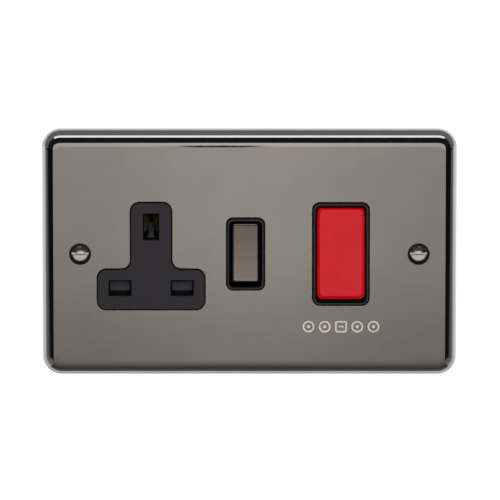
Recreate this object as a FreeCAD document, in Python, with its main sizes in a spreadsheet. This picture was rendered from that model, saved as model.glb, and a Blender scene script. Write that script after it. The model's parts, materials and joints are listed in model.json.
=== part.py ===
import FreeCAD, Part
import math
import os
import re

import Sketcher
from FreeCAD import Placement, Rotation, Vector

# Cooker control unit: a 45 A double-pole cooker switch and a 13 A switched socket
# behind one raised metal plate. X runs to the right, Z up, and Y into the wall.
# The wall lies at Y = 0, midway between the two fixing screws.

SIZES = {
    # Metal front plate and the screws that hold it to the wall box
    "plate_width": 148.0,
    "plate_height": 89.0,
    "plate_depth": 6.2,
    "plate_wall": 1.0,
    "plate_corner_radius": 7.0,
    "plate_edge_radius": 4.9,
    "plate_inner_edge": 2.94,
    "plate_opening_clearance": 0.15,
    "fixing_inset": 13.7,
    "fixing_head_radius": 3.05,
    "fixing_head_dome": 0.85,
    "fixing_head_sink": 1.08,
    "fixing_shoulder_radius": 1.9,
    "fixing_shoulder_height": 0.61,
    "fixing_crown_radius": 1.5,
    "fixing_neck_radius": 1.45,
    "fixing_shank_radius": 1.75,
    "fixing_shank_start": 4.0,
    "fixing_shank_lead": 0.3,
    "fixing_length": 25.0,
    "fixing_slot_width": 0.8,
    "fixing_slot_depth": 0.9,
    "dimple_radius": 3.9,
    "dimple_seat_gap": 0.25,
    "dimple_height": 3.2,
    # Moulding behind the plate
    "flange_width": 114.0,
    "flange_height": 58.0,
    "flange_thickness": 2.0,
    "flange_corner_radius": 3.0,
    "flange_notch_reach": 6.5,
    "flange_notch_depth": 3.2,
    "notch_corner_radius": 1.0,
    "socket_x": -35.0,
    "insert_proud": 0.4,
    "insert_width": 38.6,
    "insert_stem_width": 14.9,
    "insert_bottom": 20.3,
    "insert_bar_height": 14.9,
    "insert_top": 18.8,
    "insert_corner_radius": 3.3,
    "aperture_line_drop": 12.3,
    "aperture_line_reach": 11.1,
    "aperture_line_width": 7.2,
    "aperture_line_height": 4.8,
    "aperture_earth_rise": 9.9,
    "aperture_earth_width": 4.8,
    "aperture_earth_height": 8.8,
    "aperture_lip": 0.5,
    "bezel_proud": 0.6,
    "bezel_edge": 0.4,
    "tube_behind_pivot": 2.3,
    "tube_end_gap": 0.6,
    # Rear housing
    "housing_width": 107.0,
    "housing_height": 60.0,
    "housing_back": 20.0,
    "housing_corner_radius": 4.0,
    "housing_edge": 1.2,
    "housing_notch_reach": 8.0,
    "housing_notch_depth": 1.2,
    "pocket_clearance": 0.15,
    "assembly_spread_x": 49.5,
    "assembly_spread_z": 25.5,
    "assembly_boss_radius": 3.0,
    "assembly_boss_end": 2.0,
    "assembly_floor": 2.0,
    "assembly_shank_radius": 1.5,
    "assembly_head_radius": 2.8,
    "assembly_head_height": 1.9,
    "assembly_grip": 6.3,
    "screw_gap": 0.05,
    "screw_well_gap": 0.3,
    # Cooker switch
    "cooker_x": 32.6,
    "cooker_bezel_width": 20.35,
    "cooker_bezel_height": 37.4,
    "cooker_opening_width": 17.4,
    "cooker_opening_height": 34.4,
    "cooker_bezel_radius": 2.7,
    "cooker_pivot": 1.5,
    "cooker_tilt": 7.5,
    "cooker_face": 7.5,
    "cooker_face_width": 16.2,
    "cooker_face_height": 31.8,
    "cooker_base": 1.0,
    "cooker_base_width": 17.1,
    "cooker_base_height": 33.2,
    "cooker_edge": 0.7,
    "cooker_edge_inset": 0.56,
    "cooker_corner_radius": 1.7,
    "cooker_wall": 1.4,
    "cooker_hollow_radius": 0.8,
    "cooker_keel_height": 12.0,
    "cooker_keel_depth": 1.4,
    "cooker_trunnion_radius": 1.2,
    "pole_pitch": 10.0,
    # Socket switch
    "socket_switch_x": -1.35,
    "socket_bezel_width": 13.7,
    "socket_bezel_height": 26.3,
    "socket_opening_width": 11.0,
    "socket_opening_height": 23.3,
    "socket_bezel_radius": 2.4,
    "socket_pivot": 2.5,
    "socket_tilt": 9.0,
    "socket_face": 5.0,
    "socket_face_width": 9.05,
    "socket_face_height": 20.6,
    "socket_edge": 0.2,
    "socket_edge_inset": 0.16,
    "socket_base": 1.2,
    "socket_base_width": 10.5,
    "socket_base_height": 21.8,
    "socket_corner_radius": 0.9,
    "socket_keel_height": 8.0,
    "socket_keel_depth": 1.2,
    "socket_trunnion_radius": 1.0,
    "cap_thickness": 0.9,
    "cap_edge_radius": 0.45,
    "trunnion_fit": 0.05,
    "trunnion_end_gap": 0.2,
    # Sprung plungers in the rockers
    "plunger_fit": 0.05,
    "plunger_nose": 1.3,
    "plunger_nose_inset": 0.91,
    "plunger_tube_wall": 0.75,
    "cooker_plunger_radius": 1.5,
    "cooker_plunger_tip": 9.45,
    "cooker_plunger_back": 1.0,
    "cooker_plunger_tube": 5.2,
    "cooker_plunger_bore": 3.6,
    "socket_plunger_radius": 1.45,
    "socket_plunger_tip": 8.5,
    "socket_plunger_back": 0.7,
    "socket_plunger_tube": 4.4,
    "socket_plunger_bore": 3.4,
    "spring_wire": 0.35,
    "spring_side_gap": 0.2,
    "spring_end_gap": 0.1,
    "plunger_spring_turns": 2.0,
    # Rocking contacts and their fixed contacts
    "rock_angle": 5.0,
    "rock_play": 0.03,
    "cooker_rock_line": 9.6,
    "cooker_rock_reach": 8.0,
    "cooker_rock_width": 5.0,
    "cooker_rock_thickness": 1.5,
    "cooker_tip_reach": 6.5,
    "cooker_tip_radius": 1.5,
    "cooker_tip_height": 0.35,
    "cooker_strip_front": 11.4,
    "cooker_fixed_tip_height": 0.55,
    "socket_rock_line": 7.35,
    "socket_rock_reach": 6.0,
    "socket_rock_width": 4.0,
    "socket_rock_thickness": 1.2,
    "socket_tip_reach": 4.8,
    "socket_tip_radius": 1.2,
    "socket_tip_height": 0.3,
    "socket_strip_front": 8.75,
    "socket_fixed_tip_height": 0.4,
    "strip_thickness": 1.0,
    "strip_width": 4.0,
    "strip_tab_front": 6.0,
    "chamber_half_width": 3.6,
    # Terminals
    "terminal_start": 17.0,
    "terminal_length": 11.0,
    "terminal_front": 5.0,
    "terminal_depth": 10.0,
    "supply_width": 9.0,
    "supply_pitch": 14.0,
    "supply_bore_radius": 3.0,
    "bore_length": 9.5,
    "earth_terminal_x": 13.0,
    "earth_terminal_width": 8.0,
    "earth_bore_radius": 2.6,
    "clamp_place": 5.5,
    "supply_clamp_radius": 1.95,
    "supply_clamp_head": 2.9,
    "earth_clamp_radius": 1.7,
    "earth_clamp_head": 2.5,
    "clamp_head_height": 3.0,
    "clamp_slot_width": 0.9,
    "clamp_slot_depth": 1.0,
    # Socket contacts
    "jaw_gap": 4.1,
    "jaw_leaf": 0.8,
    "jaw_width": 6.0,
    "jaw_front": 2.0,
    "jaw_flare": 0.55,
    "jaw_flare_length": 2.0,
    "jaw_foot": 0.6,
    "jaw_bend_room": 1.4,
    "jaw_side_gap": 0.3,
    "line_jaw_level": 12.0,
    "earth_jaw_level": 14.0,
    "earth_jaw_height": 7.0,
    "earth_frame_height": 12.4,
    "earth_frame_side": 2.4,
    "neutral_jaw_level": 17.0,
    "strap_place": 8.0,
    "strap_width": 3.0,
    "strap_foot": 4.0,
    # Shutter
    "shutter_front": 3.0,
    "shutter_thickness": 1.8,
    "shutter_step": 0.7,
    "shutter_step_height": 1.82,
    "shutter_corner_radius": 0.5,
    "shutter_gap": 0.2,
    "shutter_cover_margin": 0.6,
    "shutter_bar_reach": 15.5,
    "shutter_travel": 5.5,
    "shutter_stem_width": 3.0,
    "shutter_ramp_width": 1.8,
    "shutter_ramp_depth": 5.5,
    "shutter_heel_drop": 1.65,
    "shutter_tip_low": 1.1,
    "shutter_tip_high": 4.51,
    "shutter_tip_radius": 0.4,
    "shutter_seat_depth": 3.6,
    "shutter_spring_radius": 1.4,
    "shutter_spring_length": 11.7,
    "shutter_spring_turns": 3.5,
    # How far a cut runs on past a face
    "overrun": 1.0,
}

# Millimetres within which two places are the same
TOUCH = 1e-4

doc = FreeCAD.newDocument("CookerControlUnit")
dims = doc.addObject("Spreadsheet::Sheet", "Dims")
for row, (alias, size) in enumerate(SIZES.items(), start=1):
    dims.set(f"A{row}", alias)
    dims.set(f"B{row}", str(size))
    dims.setAlias(f"B{row}", alias)
doc.recompute()


def bound(text):
    """Turns a formula in plain size names into one that reads the sheet."""
    return re.sub(r"[a-z]\w+", lambda name: f"Dims.{name[0]}" if name[0] in SIZES else name[0], str(text))


def value(text):
    """The present value of a formula in plain size names."""
    return float(dims.evalExpression(bound(text)))


class Outline:
    """A closed outline of straight sides. Each corner is (across, up, radius)."""

    def __init__(self, corners):
        """Takes the corners in order round the outline."""
        self.corners = corners

    def draw(self, sketch):
        """Draws the outline into a sketch, each corner tied to its formulas."""
        places = [Vector(value(across), value(up), 0) for across, up, radius in self.corners]
        radii = [value(radius) for across, up, radius in self.corners]
        count = len(places)
        trims = []
        for index, here in enumerate(places):
            back = (places[index - 1] - here).normalize()
            ahead = (places[(index + 1) % count] - here).normalize()
            half = back.getAngle(ahead) / 2
            trims.append((here + back * (radii[index] / math.tan(half)),
                          here + ahead * (radii[index] / math.tan(half)),
                          here + (back + ahead).normalize() * (radii[index] / math.sin(half)),
                          ahead.cross(back).z > 0))
        points = [sketch.addGeometry(Part.Point(here), True) for here in places]
        sides = [sketch.addGeometry(Part.LineSegment(trims[index][1], trims[(index + 1) % count][0]))
                 for index in range(count)]
        rules = []
        bindings = []
        for index, (across, up, radius) in enumerate(self.corners):
            bindings.append((len(rules), across))
            rules.append(Sketcher.Constraint("DistanceX", -1, 1, points[index], 1, places[index].x))
            bindings.append((len(rules), up))
            rules.append(Sketcher.Constraint("DistanceY", -1, 1, points[index], 1, places[index].y))
            if not radii[index]:
                rules.append(Sketcher.Constraint("Coincident", sides[index - 1], 2, points[index], 1))
                rules.append(Sketcher.Constraint("Coincident", sides[index], 1, points[index], 1))
                continue
            start, finish, centre, turns_left = trims[index]
            first, last = (start, finish) if turns_left else (finish, start)
            angles = [math.atan2(end.y - centre.y, end.x - centre.x) for end in (first, last)]
            if angles[1] < angles[0]:
                angles[1] += 2 * math.pi
            ring = Part.Circle(centre, Vector(0, 0, 1), radii[index])
            arc = sketch.addGeometry(Part.ArcOfCircle(ring, angles[0], angles[1]))
            entry, leave = (1, 2) if turns_left else (2, 1)
            rules.append(Sketcher.Constraint("PointOnObject", points[index], 1, sides[index - 1]))
            rules.append(Sketcher.Constraint("PointOnObject", points[index], 1, sides[index]))
            rules.append(Sketcher.Constraint("Tangent", sides[index - 1], 2, arc, entry))
            rules.append(Sketcher.Constraint("Tangent", sides[index], 1, arc, leave))
            bindings.append((len(rules), radius))
            rules.append(Sketcher.Constraint("Radius", arc, radii[index]))
        bind(sketch, rules, bindings)


class Ring:
    """A full circle."""

    def __init__(self, across, up, radius):
        """Takes the centre and the radius."""
        self.across = across
        self.up = up
        self.radius = radius

    def draw(self, sketch):
        """Draws the circle into a sketch, tied to its formulas."""
        centre = Vector(value(self.across), value(self.up), 0)
        ring = sketch.addGeometry(Part.Circle(centre, Vector(0, 0, 1), value(self.radius)))
        rules = [Sketcher.Constraint("DistanceX", -1, 1, ring, 3, centre.x),
                 Sketcher.Constraint("DistanceY", -1, 1, ring, 3, centre.y),
                 Sketcher.Constraint("Radius", ring, value(self.radius))]
        bind(sketch, rules, list(enumerate([self.across, self.up, self.radius])))


def bind(sketch, rules, bindings):
    """Adds the rules to the sketch and ties each bound one to its formula."""
    first = sketch.ConstraintCount
    sketch.addConstraint(rules)
    for index, text in bindings:
        sketch.setExpression(f"Constraints[{first + index}]", bound(text))


def block(across_low, across_high, up_low, up_high, radius="0"):
    """A rectangle between two limits each way."""
    return Outline([(across_low, up_low, radius), (across_high, up_low, radius),
                    (across_high, up_high, radius), (across_low, up_high, radius)])


def centred(across, up, width, height, radius="0"):
    """A rectangle about its centre."""
    return block(f"{across} - ({width}) / 2", f"{across} + ({width}) / 2",
                 f"{up} - ({height}) / 2", f"{up} + ({height}) / 2", radius)


def new_body(label):
    """An empty body whose label is its file's name."""
    body = doc.addObject("PartDesign::Body", label)
    body.Label = label
    return body


def origin_feature(body, role):
    """One of the body's own origin planes or axes."""
    return next(item for item in body.Origin.OriginFeatures if item.Role == role)


def sketch_on(body, plane, height, shapes, shift="0"):
    """A sketch parallel to an origin plane, at a height along +Y, +Z or +X."""
    sketch = body.newObject("Sketcher::SketchObject", "Profile")
    sketch.AttachmentSupport = [(origin_feature(body, plane + "_Plane"), "")]
    sketch.MapMode = "FlatFace"
    sketch.setExpression("AttachmentOffset.Base.x", bound(shift))
    sketch.setExpression("AttachmentOffset.Base.z", bound(f"-({height})" if plane == "XZ" else height))
    for shape in shapes:
        shape.draw(sketch)
    return sketch


def add(body, plane, low, high, *shapes):
    """Material between two heights along the plane's own axis."""
    feature = body.newObject("PartDesign::Pad", "Pad")
    feature.Profile = sketch_on(body, plane, high if plane == "XZ" else low, shapes)
    feature.setExpression("Length", bound(f"({high}) - ({low})"))
    body.Tip = feature
    return feature


def cut(body, plane, low, high, *shapes):
    """A pocket between two heights along the plane's own axis."""
    feature = body.newObject("PartDesign::Pocket", "Pocket")
    feature.Profile = sketch_on(body, plane, low if plane == "XZ" else high, shapes)
    feature.setExpression("Length", bound(f"({high}) - ({low})"))
    body.Tip = feature
    return feature


def turn(body, kind, across, up, corners):
    """A turned form about an axis along Y. Corners are (radius, Y, rounding)."""
    feature = body.newObject(f"PartDesign::{kind}", kind)
    sketch = sketch_on(body, "XY", up, [Outline(corners)], shift=across)
    feature.Profile = sketch
    feature.ReferenceAxis = (sketch, ["V_Axis"])
    feature.Angle = 360
    body.Tip = feature
    return feature


def soften(body, kind, size, chosen):
    """Fillets or chamfers the edges that pass the test."""
    doc.recompute()
    base = body.Tip
    names = [f"Edge{number}" for number, edge in enumerate(base.Shape.Edges, start=1) if chosen(edge)]
    feature = body.newObject(f"PartDesign::{kind}", kind)
    feature.Base = (base, names)
    feature.setExpression("Radius" if kind == "Fillet" else "Size", bound(size))
    body.Tip = feature
    return feature


def edges_at(level):
    """Picks the edges that lie flat at one Y."""
    depth = value(level)
    return lambda edge: max(abs(edge.BoundBox.YMin - depth), abs(edge.BoundBox.YMax - depth)) < TOUCH


def mirror_all(body, *planes):
    """Repeats the whole body across the planes given."""
    feature = body.newObject("PartDesign::MultiTransform", "Repeat")
    mirrors = []
    for plane in planes:
        mirror = doc.addObject("PartDesign::Mirrored", "Mirror")
        mirror.MirrorPlane = (origin_feature(body, plane + "_Plane"), [""])
        mirrors.append(mirror)
    feature.Originals = [item for item in body.Group if item.isDerivedFrom("PartDesign::FeatureAddSub")]
    feature.Transformations = mirrors
    body.Tip = feature


def tilt(body, across, depth, angle):
    """Stands a body that was drawn about its own pivot at its place, turned about X."""
    body.Placement = Placement(Vector(0, 0, 0), Rotation(Vector(1, 0, 0), 1))
    body.setExpression("Placement.Base.x", bound(across))
    body.setExpression("Placement.Base.y", bound(depth))
    body.setExpression("Placement.Rotation.Angle", bound(angle))


def spring(body, plane_shift, start, length, radius, turns, upright):
    """A coil about Y, or about Z when upright. The wire is square, of a round wire's area."""
    feature = body.newObject("PartDesign::AdditiveHelix", "Coil")
    plane = "XZ" if upright else "XY"
    side = f"(spring_wire * {math.sqrt(math.pi) / 2:.4f})"
    wire = centred(radius, f"({start}) + spring_wire / 2", side, side)
    sketch = sketch_on(body, plane, plane_shift[1], [wire], shift=plane_shift[0])
    feature.Profile = sketch
    feature.ReferenceAxis = (sketch, ["V_Axis"])
    feature.Mode = "height-turns-angle"
    feature.setExpression("Height", bound(f"({length}) - spring_wire"))
    feature.setExpression("Turns", bound(turns))
    body.Tip = feature
    return feature


# Levels along Y that several pieces share
FACE = "-plate_depth"
PLATE_BACK = f"({FACE} + plate_wall)"
FLANGE_BACK = f"({PLATE_BACK} + flange_thickness)"
INSERT_FACE = f"({FACE} - insert_proud)"
BEZEL_FACE = f"({FACE} - bezel_proud)"
TERMINAL_BACK = "(terminal_front + terminal_depth)"
TERMINAL_AXIS = "(terminal_front + terminal_depth / 2)"
TERMINAL_END = "(terminal_start + terminal_length)"
CLAMP_Z = "(terminal_start + clamp_place)"
SHUTTER_BACK = "(-shutter_front + shutter_thickness)"
COOKER_FLOOR = "(cooker_strip_front + strip_thickness)"

# Levels along Z of the closed shutter
BAR_TOP = "(-aperture_line_drop + aperture_line_height / 2 + shutter_cover_margin)"
BAR_BOTTOM = "(-aperture_line_drop - aperture_line_height / 2 - shutter_cover_margin)"
RAMP_LOW = "(aperture_earth_rise - aperture_earth_height / 2 + shutter_cover_margin)"

# Places in the plane of the plate
LINE_X = "(socket_x + aperture_line_reach)"
NEUTRAL_X = "(socket_x - aperture_line_reach)"
LINE_POLE = "(cooker_x - pole_pitch / 2)"
NEUTRAL_POLE = "(cooker_x + pole_pitch / 2)"
LINE_TERMINAL = "(cooker_x - supply_pitch / 2)"
NEUTRAL_TERMINAL = "(cooker_x + supply_pitch / 2)"
LINK_LOW = "(terminal_start - strip_width)"
FIXING_X = "(plate_width / 2 - fixing_inset)"


def insert_outline(grow):
    """The upside-down T of the socket face, grown all round."""
    radius = f"insert_corner_radius + {grow}"
    inner = f"insert_corner_radius - {grow}"
    wide = f"(insert_width / 2 + {grow})"
    narrow = f"(insert_stem_width / 2 + {grow})"
    low = f"-insert_bottom - {grow}"
    shoulder = f"-insert_bottom + insert_bar_height + {grow}"
    top = f"insert_top + {grow}"
    return Outline([
        (f"socket_x - {wide}", low, radius),
        (f"socket_x + {wide}", low, radius),
        (f"socket_x + {wide}", shoulder, radius),
        (f"socket_x + {narrow}", shoulder, inner),
        (f"socket_x + {narrow}", top, radius),
        (f"socket_x - {narrow}", top, radius),
        (f"socket_x - {narrow}", shoulder, inner),
        (f"socket_x - {wide}", shoulder, radius),
    ])


def bezel_outline(switch, grow):
    """The outer outline of a switch's bezel, grown all round."""
    return centred(f"{switch}_x" if switch == "cooker" else "socket_switch_x", "0",
                   f"{switch}_bezel_width + 2 * {grow}", f"{switch}_bezel_height + 2 * {grow}",
                   f"{switch}_bezel_radius + {grow}")


def front_plate():
    """A drawn metal tray with a formed dimple for each fixing screw."""
    body = new_body("front_plate")
    add(body, "XZ", FACE, "0", centred("0", "0", "plate_width", "plate_height", "plate_corner_radius"))
    soften(body, "Fillet", "plate_edge_radius", edges_at(FACE))
    hollow = new_body("plate_hollow")
    add(hollow, "XZ", PLATE_BACK, "overrun",
        centred("0", "0", "plate_width - 2 * plate_wall", "plate_height - 2 * plate_wall",
                "plate_corner_radius - plate_wall"))
    soften(hollow, "Chamfer", "plate_inner_edge", edges_at(PLATE_BACK))
    shell = body.newObject("PartDesign::Boolean", "Shell")
    shell.addObjects([hollow])
    shell.Type = "Cut"
    body.Tip = shell
    outer = "(dimple_radius + plate_wall)"
    middle = f"({FACE} + plate_wall / 2)"
    turn(body, "Revolution", FIXING_X, "0", [
        ("0", middle, "0"), (outer, middle, "0"), (outer, PLATE_BACK, "0"),
        (f"{outer} - dimple_height + plate_wall", f"{FACE} + dimple_height", "0"),
        ("0", f"{FACE} + dimple_height", "0")])
    bore = "(fixing_neck_radius + dimple_seat_gap)"
    seat = "(fixing_head_radius + dimple_seat_gap)"
    sunk = f"({FACE} + fixing_head_sink - dimple_seat_gap / 2)"
    turn(body, "Groove", FIXING_X, "0", [
        ("0", f"{FACE} - overrun", "0"), ("dimple_radius", f"{FACE} - overrun", "0"),
        ("dimple_radius", FACE, "0"), (seat, sunk, "0"),
        (bore, f"{sunk} + {seat} - {bore}", "0"), (bore, f"{FACE} + dimple_height + overrun", "0"),
        ("0", f"{FACE} + dimple_height + overrun", "0")])
    dimple = [item for item in body.Group if item.TypeId in ("PartDesign::Revolution", "PartDesign::Groove")]
    pair = body.newObject("PartDesign::Mirrored", "Pair")
    pair.Originals = dimple
    pair.MirrorPlane = (origin_feature(body, "YZ_Plane"), [""])
    body.Tip = pair
    gap = "plate_opening_clearance"
    cut(body, "XZ", f"{FACE} - overrun", FLANGE_BACK,
        insert_outline(gap), bezel_outline("cooker", gap), bezel_outline("socket", gap))
    return body


def aperture(name):
    """The outline of one pin aperture."""
    if name == "earth":
        return centred("socket_x", "aperture_earth_rise", "aperture_earth_width", "aperture_earth_height")
    across = LINE_X if name == "line" else NEUTRAL_X
    return centred(across, "-aperture_line_drop", "aperture_line_width", "aperture_line_height")


def side_notches(body, low, high, side, depth, reach):
    """A notch in each side, deep enough for the fixing screw that passes there."""
    inner = f"min({FIXING_X} - {reach}; {side} - {depth})"
    outer = f"max({FIXING_X}; {side}) + {reach}"
    cut(body, "XZ", low, high,
        block(inner, outer, f"-{reach}", reach, "notch_corner_radius"),
        block(f"-({outer})", f"-({inner})", f"-{reach}", reach, "notch_corner_radius"))


def assembly_rings(radius):
    """A circle at each of the four assembly screws."""
    return [Ring(f"{side} * assembly_spread_x", f"{rise} * assembly_spread_z", radius)
            for side in (-1, 1) for rise in (-1, 1)]


def front_moulding():
    """Socket face, switch bezels and their pivot tubes in one moulding."""
    body = new_body("front_moulding")
    add(body, "XZ", PLATE_BACK, FLANGE_BACK,
        centred("0", "0", "flange_width", "flange_height", "flange_corner_radius"))
    add(body, "XZ", INSERT_FACE, PLATE_BACK, insert_outline("0"))
    for switch, across in (("cooker", "cooker_x"), ("socket", "socket_switch_x")):
        tube_end = f"-{switch}_pivot + tube_behind_pivot"
        add(body, "XZ", BEZEL_FACE, tube_end, bezel_outline(switch, "0"))
        cut(body, "XZ", f"{BEZEL_FACE} - overrun", f"{tube_end} + overrun",
            centred(across, "0", f"{switch}_opening_width", f"{switch}_opening_height",
                    f"{switch}_bezel_radius / 2"))
        cut(body, "YZ", f"{across} - {switch}_bezel_width / 2 - overrun",
            f"{across} + {switch}_bezel_width / 2 + overrun",
            Ring(f"-{switch}_pivot", "0", f"{switch}_trunnion_radius + trunnion_fit"))
    cut(body, "XZ", f"{INSERT_FACE} - overrun", f"{FLANGE_BACK} + overrun",
        aperture("line"), aperture("neutral"), aperture("earth"))
    side_notches(body, f"{PLATE_BACK} - overrun", f"{FLANGE_BACK} + overrun", "flange_width / 2",
                 "flange_notch_depth", "flange_notch_reach")
    cut(body, "XZ", f"{PLATE_BACK} - overrun", f"{FLANGE_BACK} + overrun",
        block("earth_terminal_x - strap_width / 2 - pocket_clearance",
              "earth_terminal_x + strap_width / 2 + pocket_clearance",
              "-strap_place - strap_foot - pocket_clearance", "-strap_place + pocket_clearance"))
    add(body, "XZ", FLANGE_BACK, "assembly_boss_end", *assembly_rings("assembly_boss_radius"))
    cut(body, "XZ", f"{FLANGE_BACK} - flange_thickness / 2", "assembly_boss_end + overrun",
        *assembly_rings("assembly_shank_radius + screw_gap"))
    soften(body, "Chamfer", "bezel_edge", edges_at(BEZEL_FACE))
    soften(body, "Chamfer", "aperture_lip", lambda edge: edges_at(INSERT_FACE)(edge) and inner_edge(edge))
    return body


def inner_edge(edge):
    """True for the edges round the three pin apertures."""
    centre = edge.BoundBox.Center
    line_size = ("aperture_line_width", "aperture_line_height")
    places = [("socket_x", "aperture_earth_rise", "aperture_earth_width", "aperture_earth_height"),
              (LINE_X, "-aperture_line_drop", *line_size), (NEUTRAL_X, "-aperture_line_drop", *line_size)]
    return any(abs(centre.x - value(across)) < value(width) / 2 + TOUCH
               and abs(centre.z - value(up)) < value(height) / 2 + TOUCH
               for across, up, width, height in places)


def rear_housing():
    """The insulating box, pocketed from the front, the ends and the back."""
    body = new_body("rear_housing")
    add(body, "XZ", FLANGE_BACK, "housing_back",
        centred("0", "0", "housing_width", "housing_height", "housing_corner_radius"))
    soften(body, "Chamfer", "housing_edge", edges_at("housing_back"))
    top = f"{FLANGE_BACK} - overrun"
    gap = "pocket_clearance"
    boss_floor = f"(assembly_boss_end + {gap})"
    side_notches(body, top, "housing_back + overrun", "housing_width / 2", "housing_notch_depth",
                 "housing_notch_reach")
    cut(body, "XZ", top, boss_floor, *assembly_rings(f"assembly_boss_radius + {gap}"))
    cut(body, "XZ", boss_floor, "housing_back", *assembly_rings("assembly_shank_radius + screw_well_gap"))
    cut(body, "XZ", f"{boss_floor} + assembly_floor", "housing_back + overrun",
        *assembly_rings("assembly_head_radius + screw_well_gap"))
    # Switch tubes and the contact chambers behind them
    cut(body, "XZ", top, "-cooker_pivot + tube_behind_pivot + tube_end_gap",
        bezel_outline("cooker", gap))
    cut(body, "XZ", top, "-socket_pivot + tube_behind_pivot + tube_end_gap",
        bezel_outline("socket", gap))
    cut(body, "XZ", top, COOKER_FLOOR,
        *[block(f"{pole} - chamber_half_width", f"{pole} + chamber_half_width",
                "-terminal_start - pocket_clearance", "terminal_start + pocket_clearance")
          for pole in (LINE_POLE, NEUTRAL_POLE)])
    cut(body, "XZ", top, "line_jaw_level + strip_thickness",
        block("socket_switch_x - chamber_half_width", "socket_switch_x + chamber_half_width",
              "-aperture_line_drop - strip_width / 2 - jaw_foot", "terminal_start + pocket_clearance"))
    # Line jaw and its strip
    jaw_room = ("jaw_width + 2 * jaw_side_gap", "jaw_gap + 2 * jaw_leaf + 2 * jaw_bend_room")
    cut(body, "XZ", top, "line_jaw_level + strip_thickness",
        centred(LINE_X, "-aperture_line_drop", *jaw_room))
    cut(body, "XZ", top, "line_jaw_level + strip_thickness",
        block(LINE_X, "socket_switch_x", "-aperture_line_drop - strip_width / 2 - jaw_foot",
              "-aperture_line_drop + strip_width / 2 + jaw_foot"))
    # Neutral jaw and its link to the supply
    cut(body, "XZ", top, "neutral_jaw_level + strip_thickness",
        centred(NEUTRAL_X, "-aperture_line_drop", *jaw_room))
    cut(body, "XZ", top, "neutral_jaw_level + strip_thickness",
        block(f"{NEUTRAL_X} - strip_width / 2 - {gap}", f"{NEUTRAL_X} + strip_width / 2 + {gap}",
              "-aperture_line_drop", f"terminal_start + {gap}"))
    cut(body, "XZ", top, "neutral_jaw_level + strip_thickness",
        block(f"{NEUTRAL_X} - strip_width / 2 - {gap}",
              f"{NEUTRAL_TERMINAL} + supply_width / 2 + {gap}",
              f"{LINK_LOW} - {gap}", f"terminal_start + {gap}"))
    # Earth jaw, with room for the tip of the long pin, and its strip
    cut(body, "XZ", top, "neutral_jaw_level + strip_thickness",
        block(f"socket_x - jaw_gap / 2 - earth_frame_side - {gap}",
              f"socket_x + jaw_gap / 2 + earth_frame_side + {gap}",
              f"terminal_start - earth_frame_height - {gap}", f"terminal_start + {gap}"))
    cut(body, "XZ", top, "earth_jaw_level + strip_thickness",
        block(f"earth_terminal_x - strip_width / 2 - {gap}", f"earth_terminal_x + strip_width / 2 + {gap}",
              f"-terminal_start - {gap}", f"terminal_start + {gap}"))
    # Shutter, its stem and its spring
    cut(body, "XZ", top, f"{SHUTTER_BACK} + shutter_gap",
        block("socket_x - shutter_bar_reach - shutter_gap", "socket_x + shutter_bar_reach + shutter_gap",
              f"{BAR_BOTTOM} - shutter_travel - shutter_gap", f"{BAR_TOP} + shutter_gap"))
    cut(body, "XZ", top, f"{SHUTTER_BACK} + shutter_gap",
        block("socket_x - shutter_stem_width / 2 - shutter_gap",
              "socket_x + shutter_stem_width / 2 + shutter_gap", BAR_TOP, "aperture_earth_rise"))
    cut(body, "XZ", top, "-shutter_front + shutter_ramp_depth + shutter_gap",
        block("socket_x - shutter_ramp_width / 2 - shutter_gap",
              "socket_x + shutter_ramp_width / 2 + shutter_gap",
              f"{RAMP_LOW} - shutter_heel_drop - shutter_travel - shutter_gap", "aperture_earth_rise"))
    cut(body, "XZ", top, "-shutter_front + shutter_seat_depth + shutter_gap",
        block("socket_x - shutter_spring_radius - shutter_gap - spring_wire",
              "socket_x + shutter_spring_radius + shutter_gap + spring_wire",
              f"{BAR_BOTTOM} - shutter_spring_length - 2 * spring_end_gap", f"{BAR_TOP} + shutter_gap"))
    # Terminals, entered from the ends, and the wells of their clamping screws
    for across, width, head in ((LINE_TERMINAL, "supply_width", "supply_clamp_head"),
                                (NEUTRAL_TERMINAL, "supply_width", "supply_clamp_head"),
                                ("earth_terminal_x", "earth_terminal_width", "earth_clamp_head")):
        pocket = centred(across, TERMINAL_AXIS, f"{width} + 2 * {gap}", f"terminal_depth + 2 * {gap}")
        cut(body, "XY", "terminal_start", "housing_height", pocket)
        cut(body, "XY", "-housing_height", "-terminal_start", pocket)
        cut(body, "XZ", TERMINAL_BACK, "housing_back + overrun",
            Ring(across, CLAMP_Z, f"{head} + screw_well_gap"),
            Ring(across, f"-{CLAMP_Z}", f"{head} + screw_well_gap"))
    return body


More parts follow.
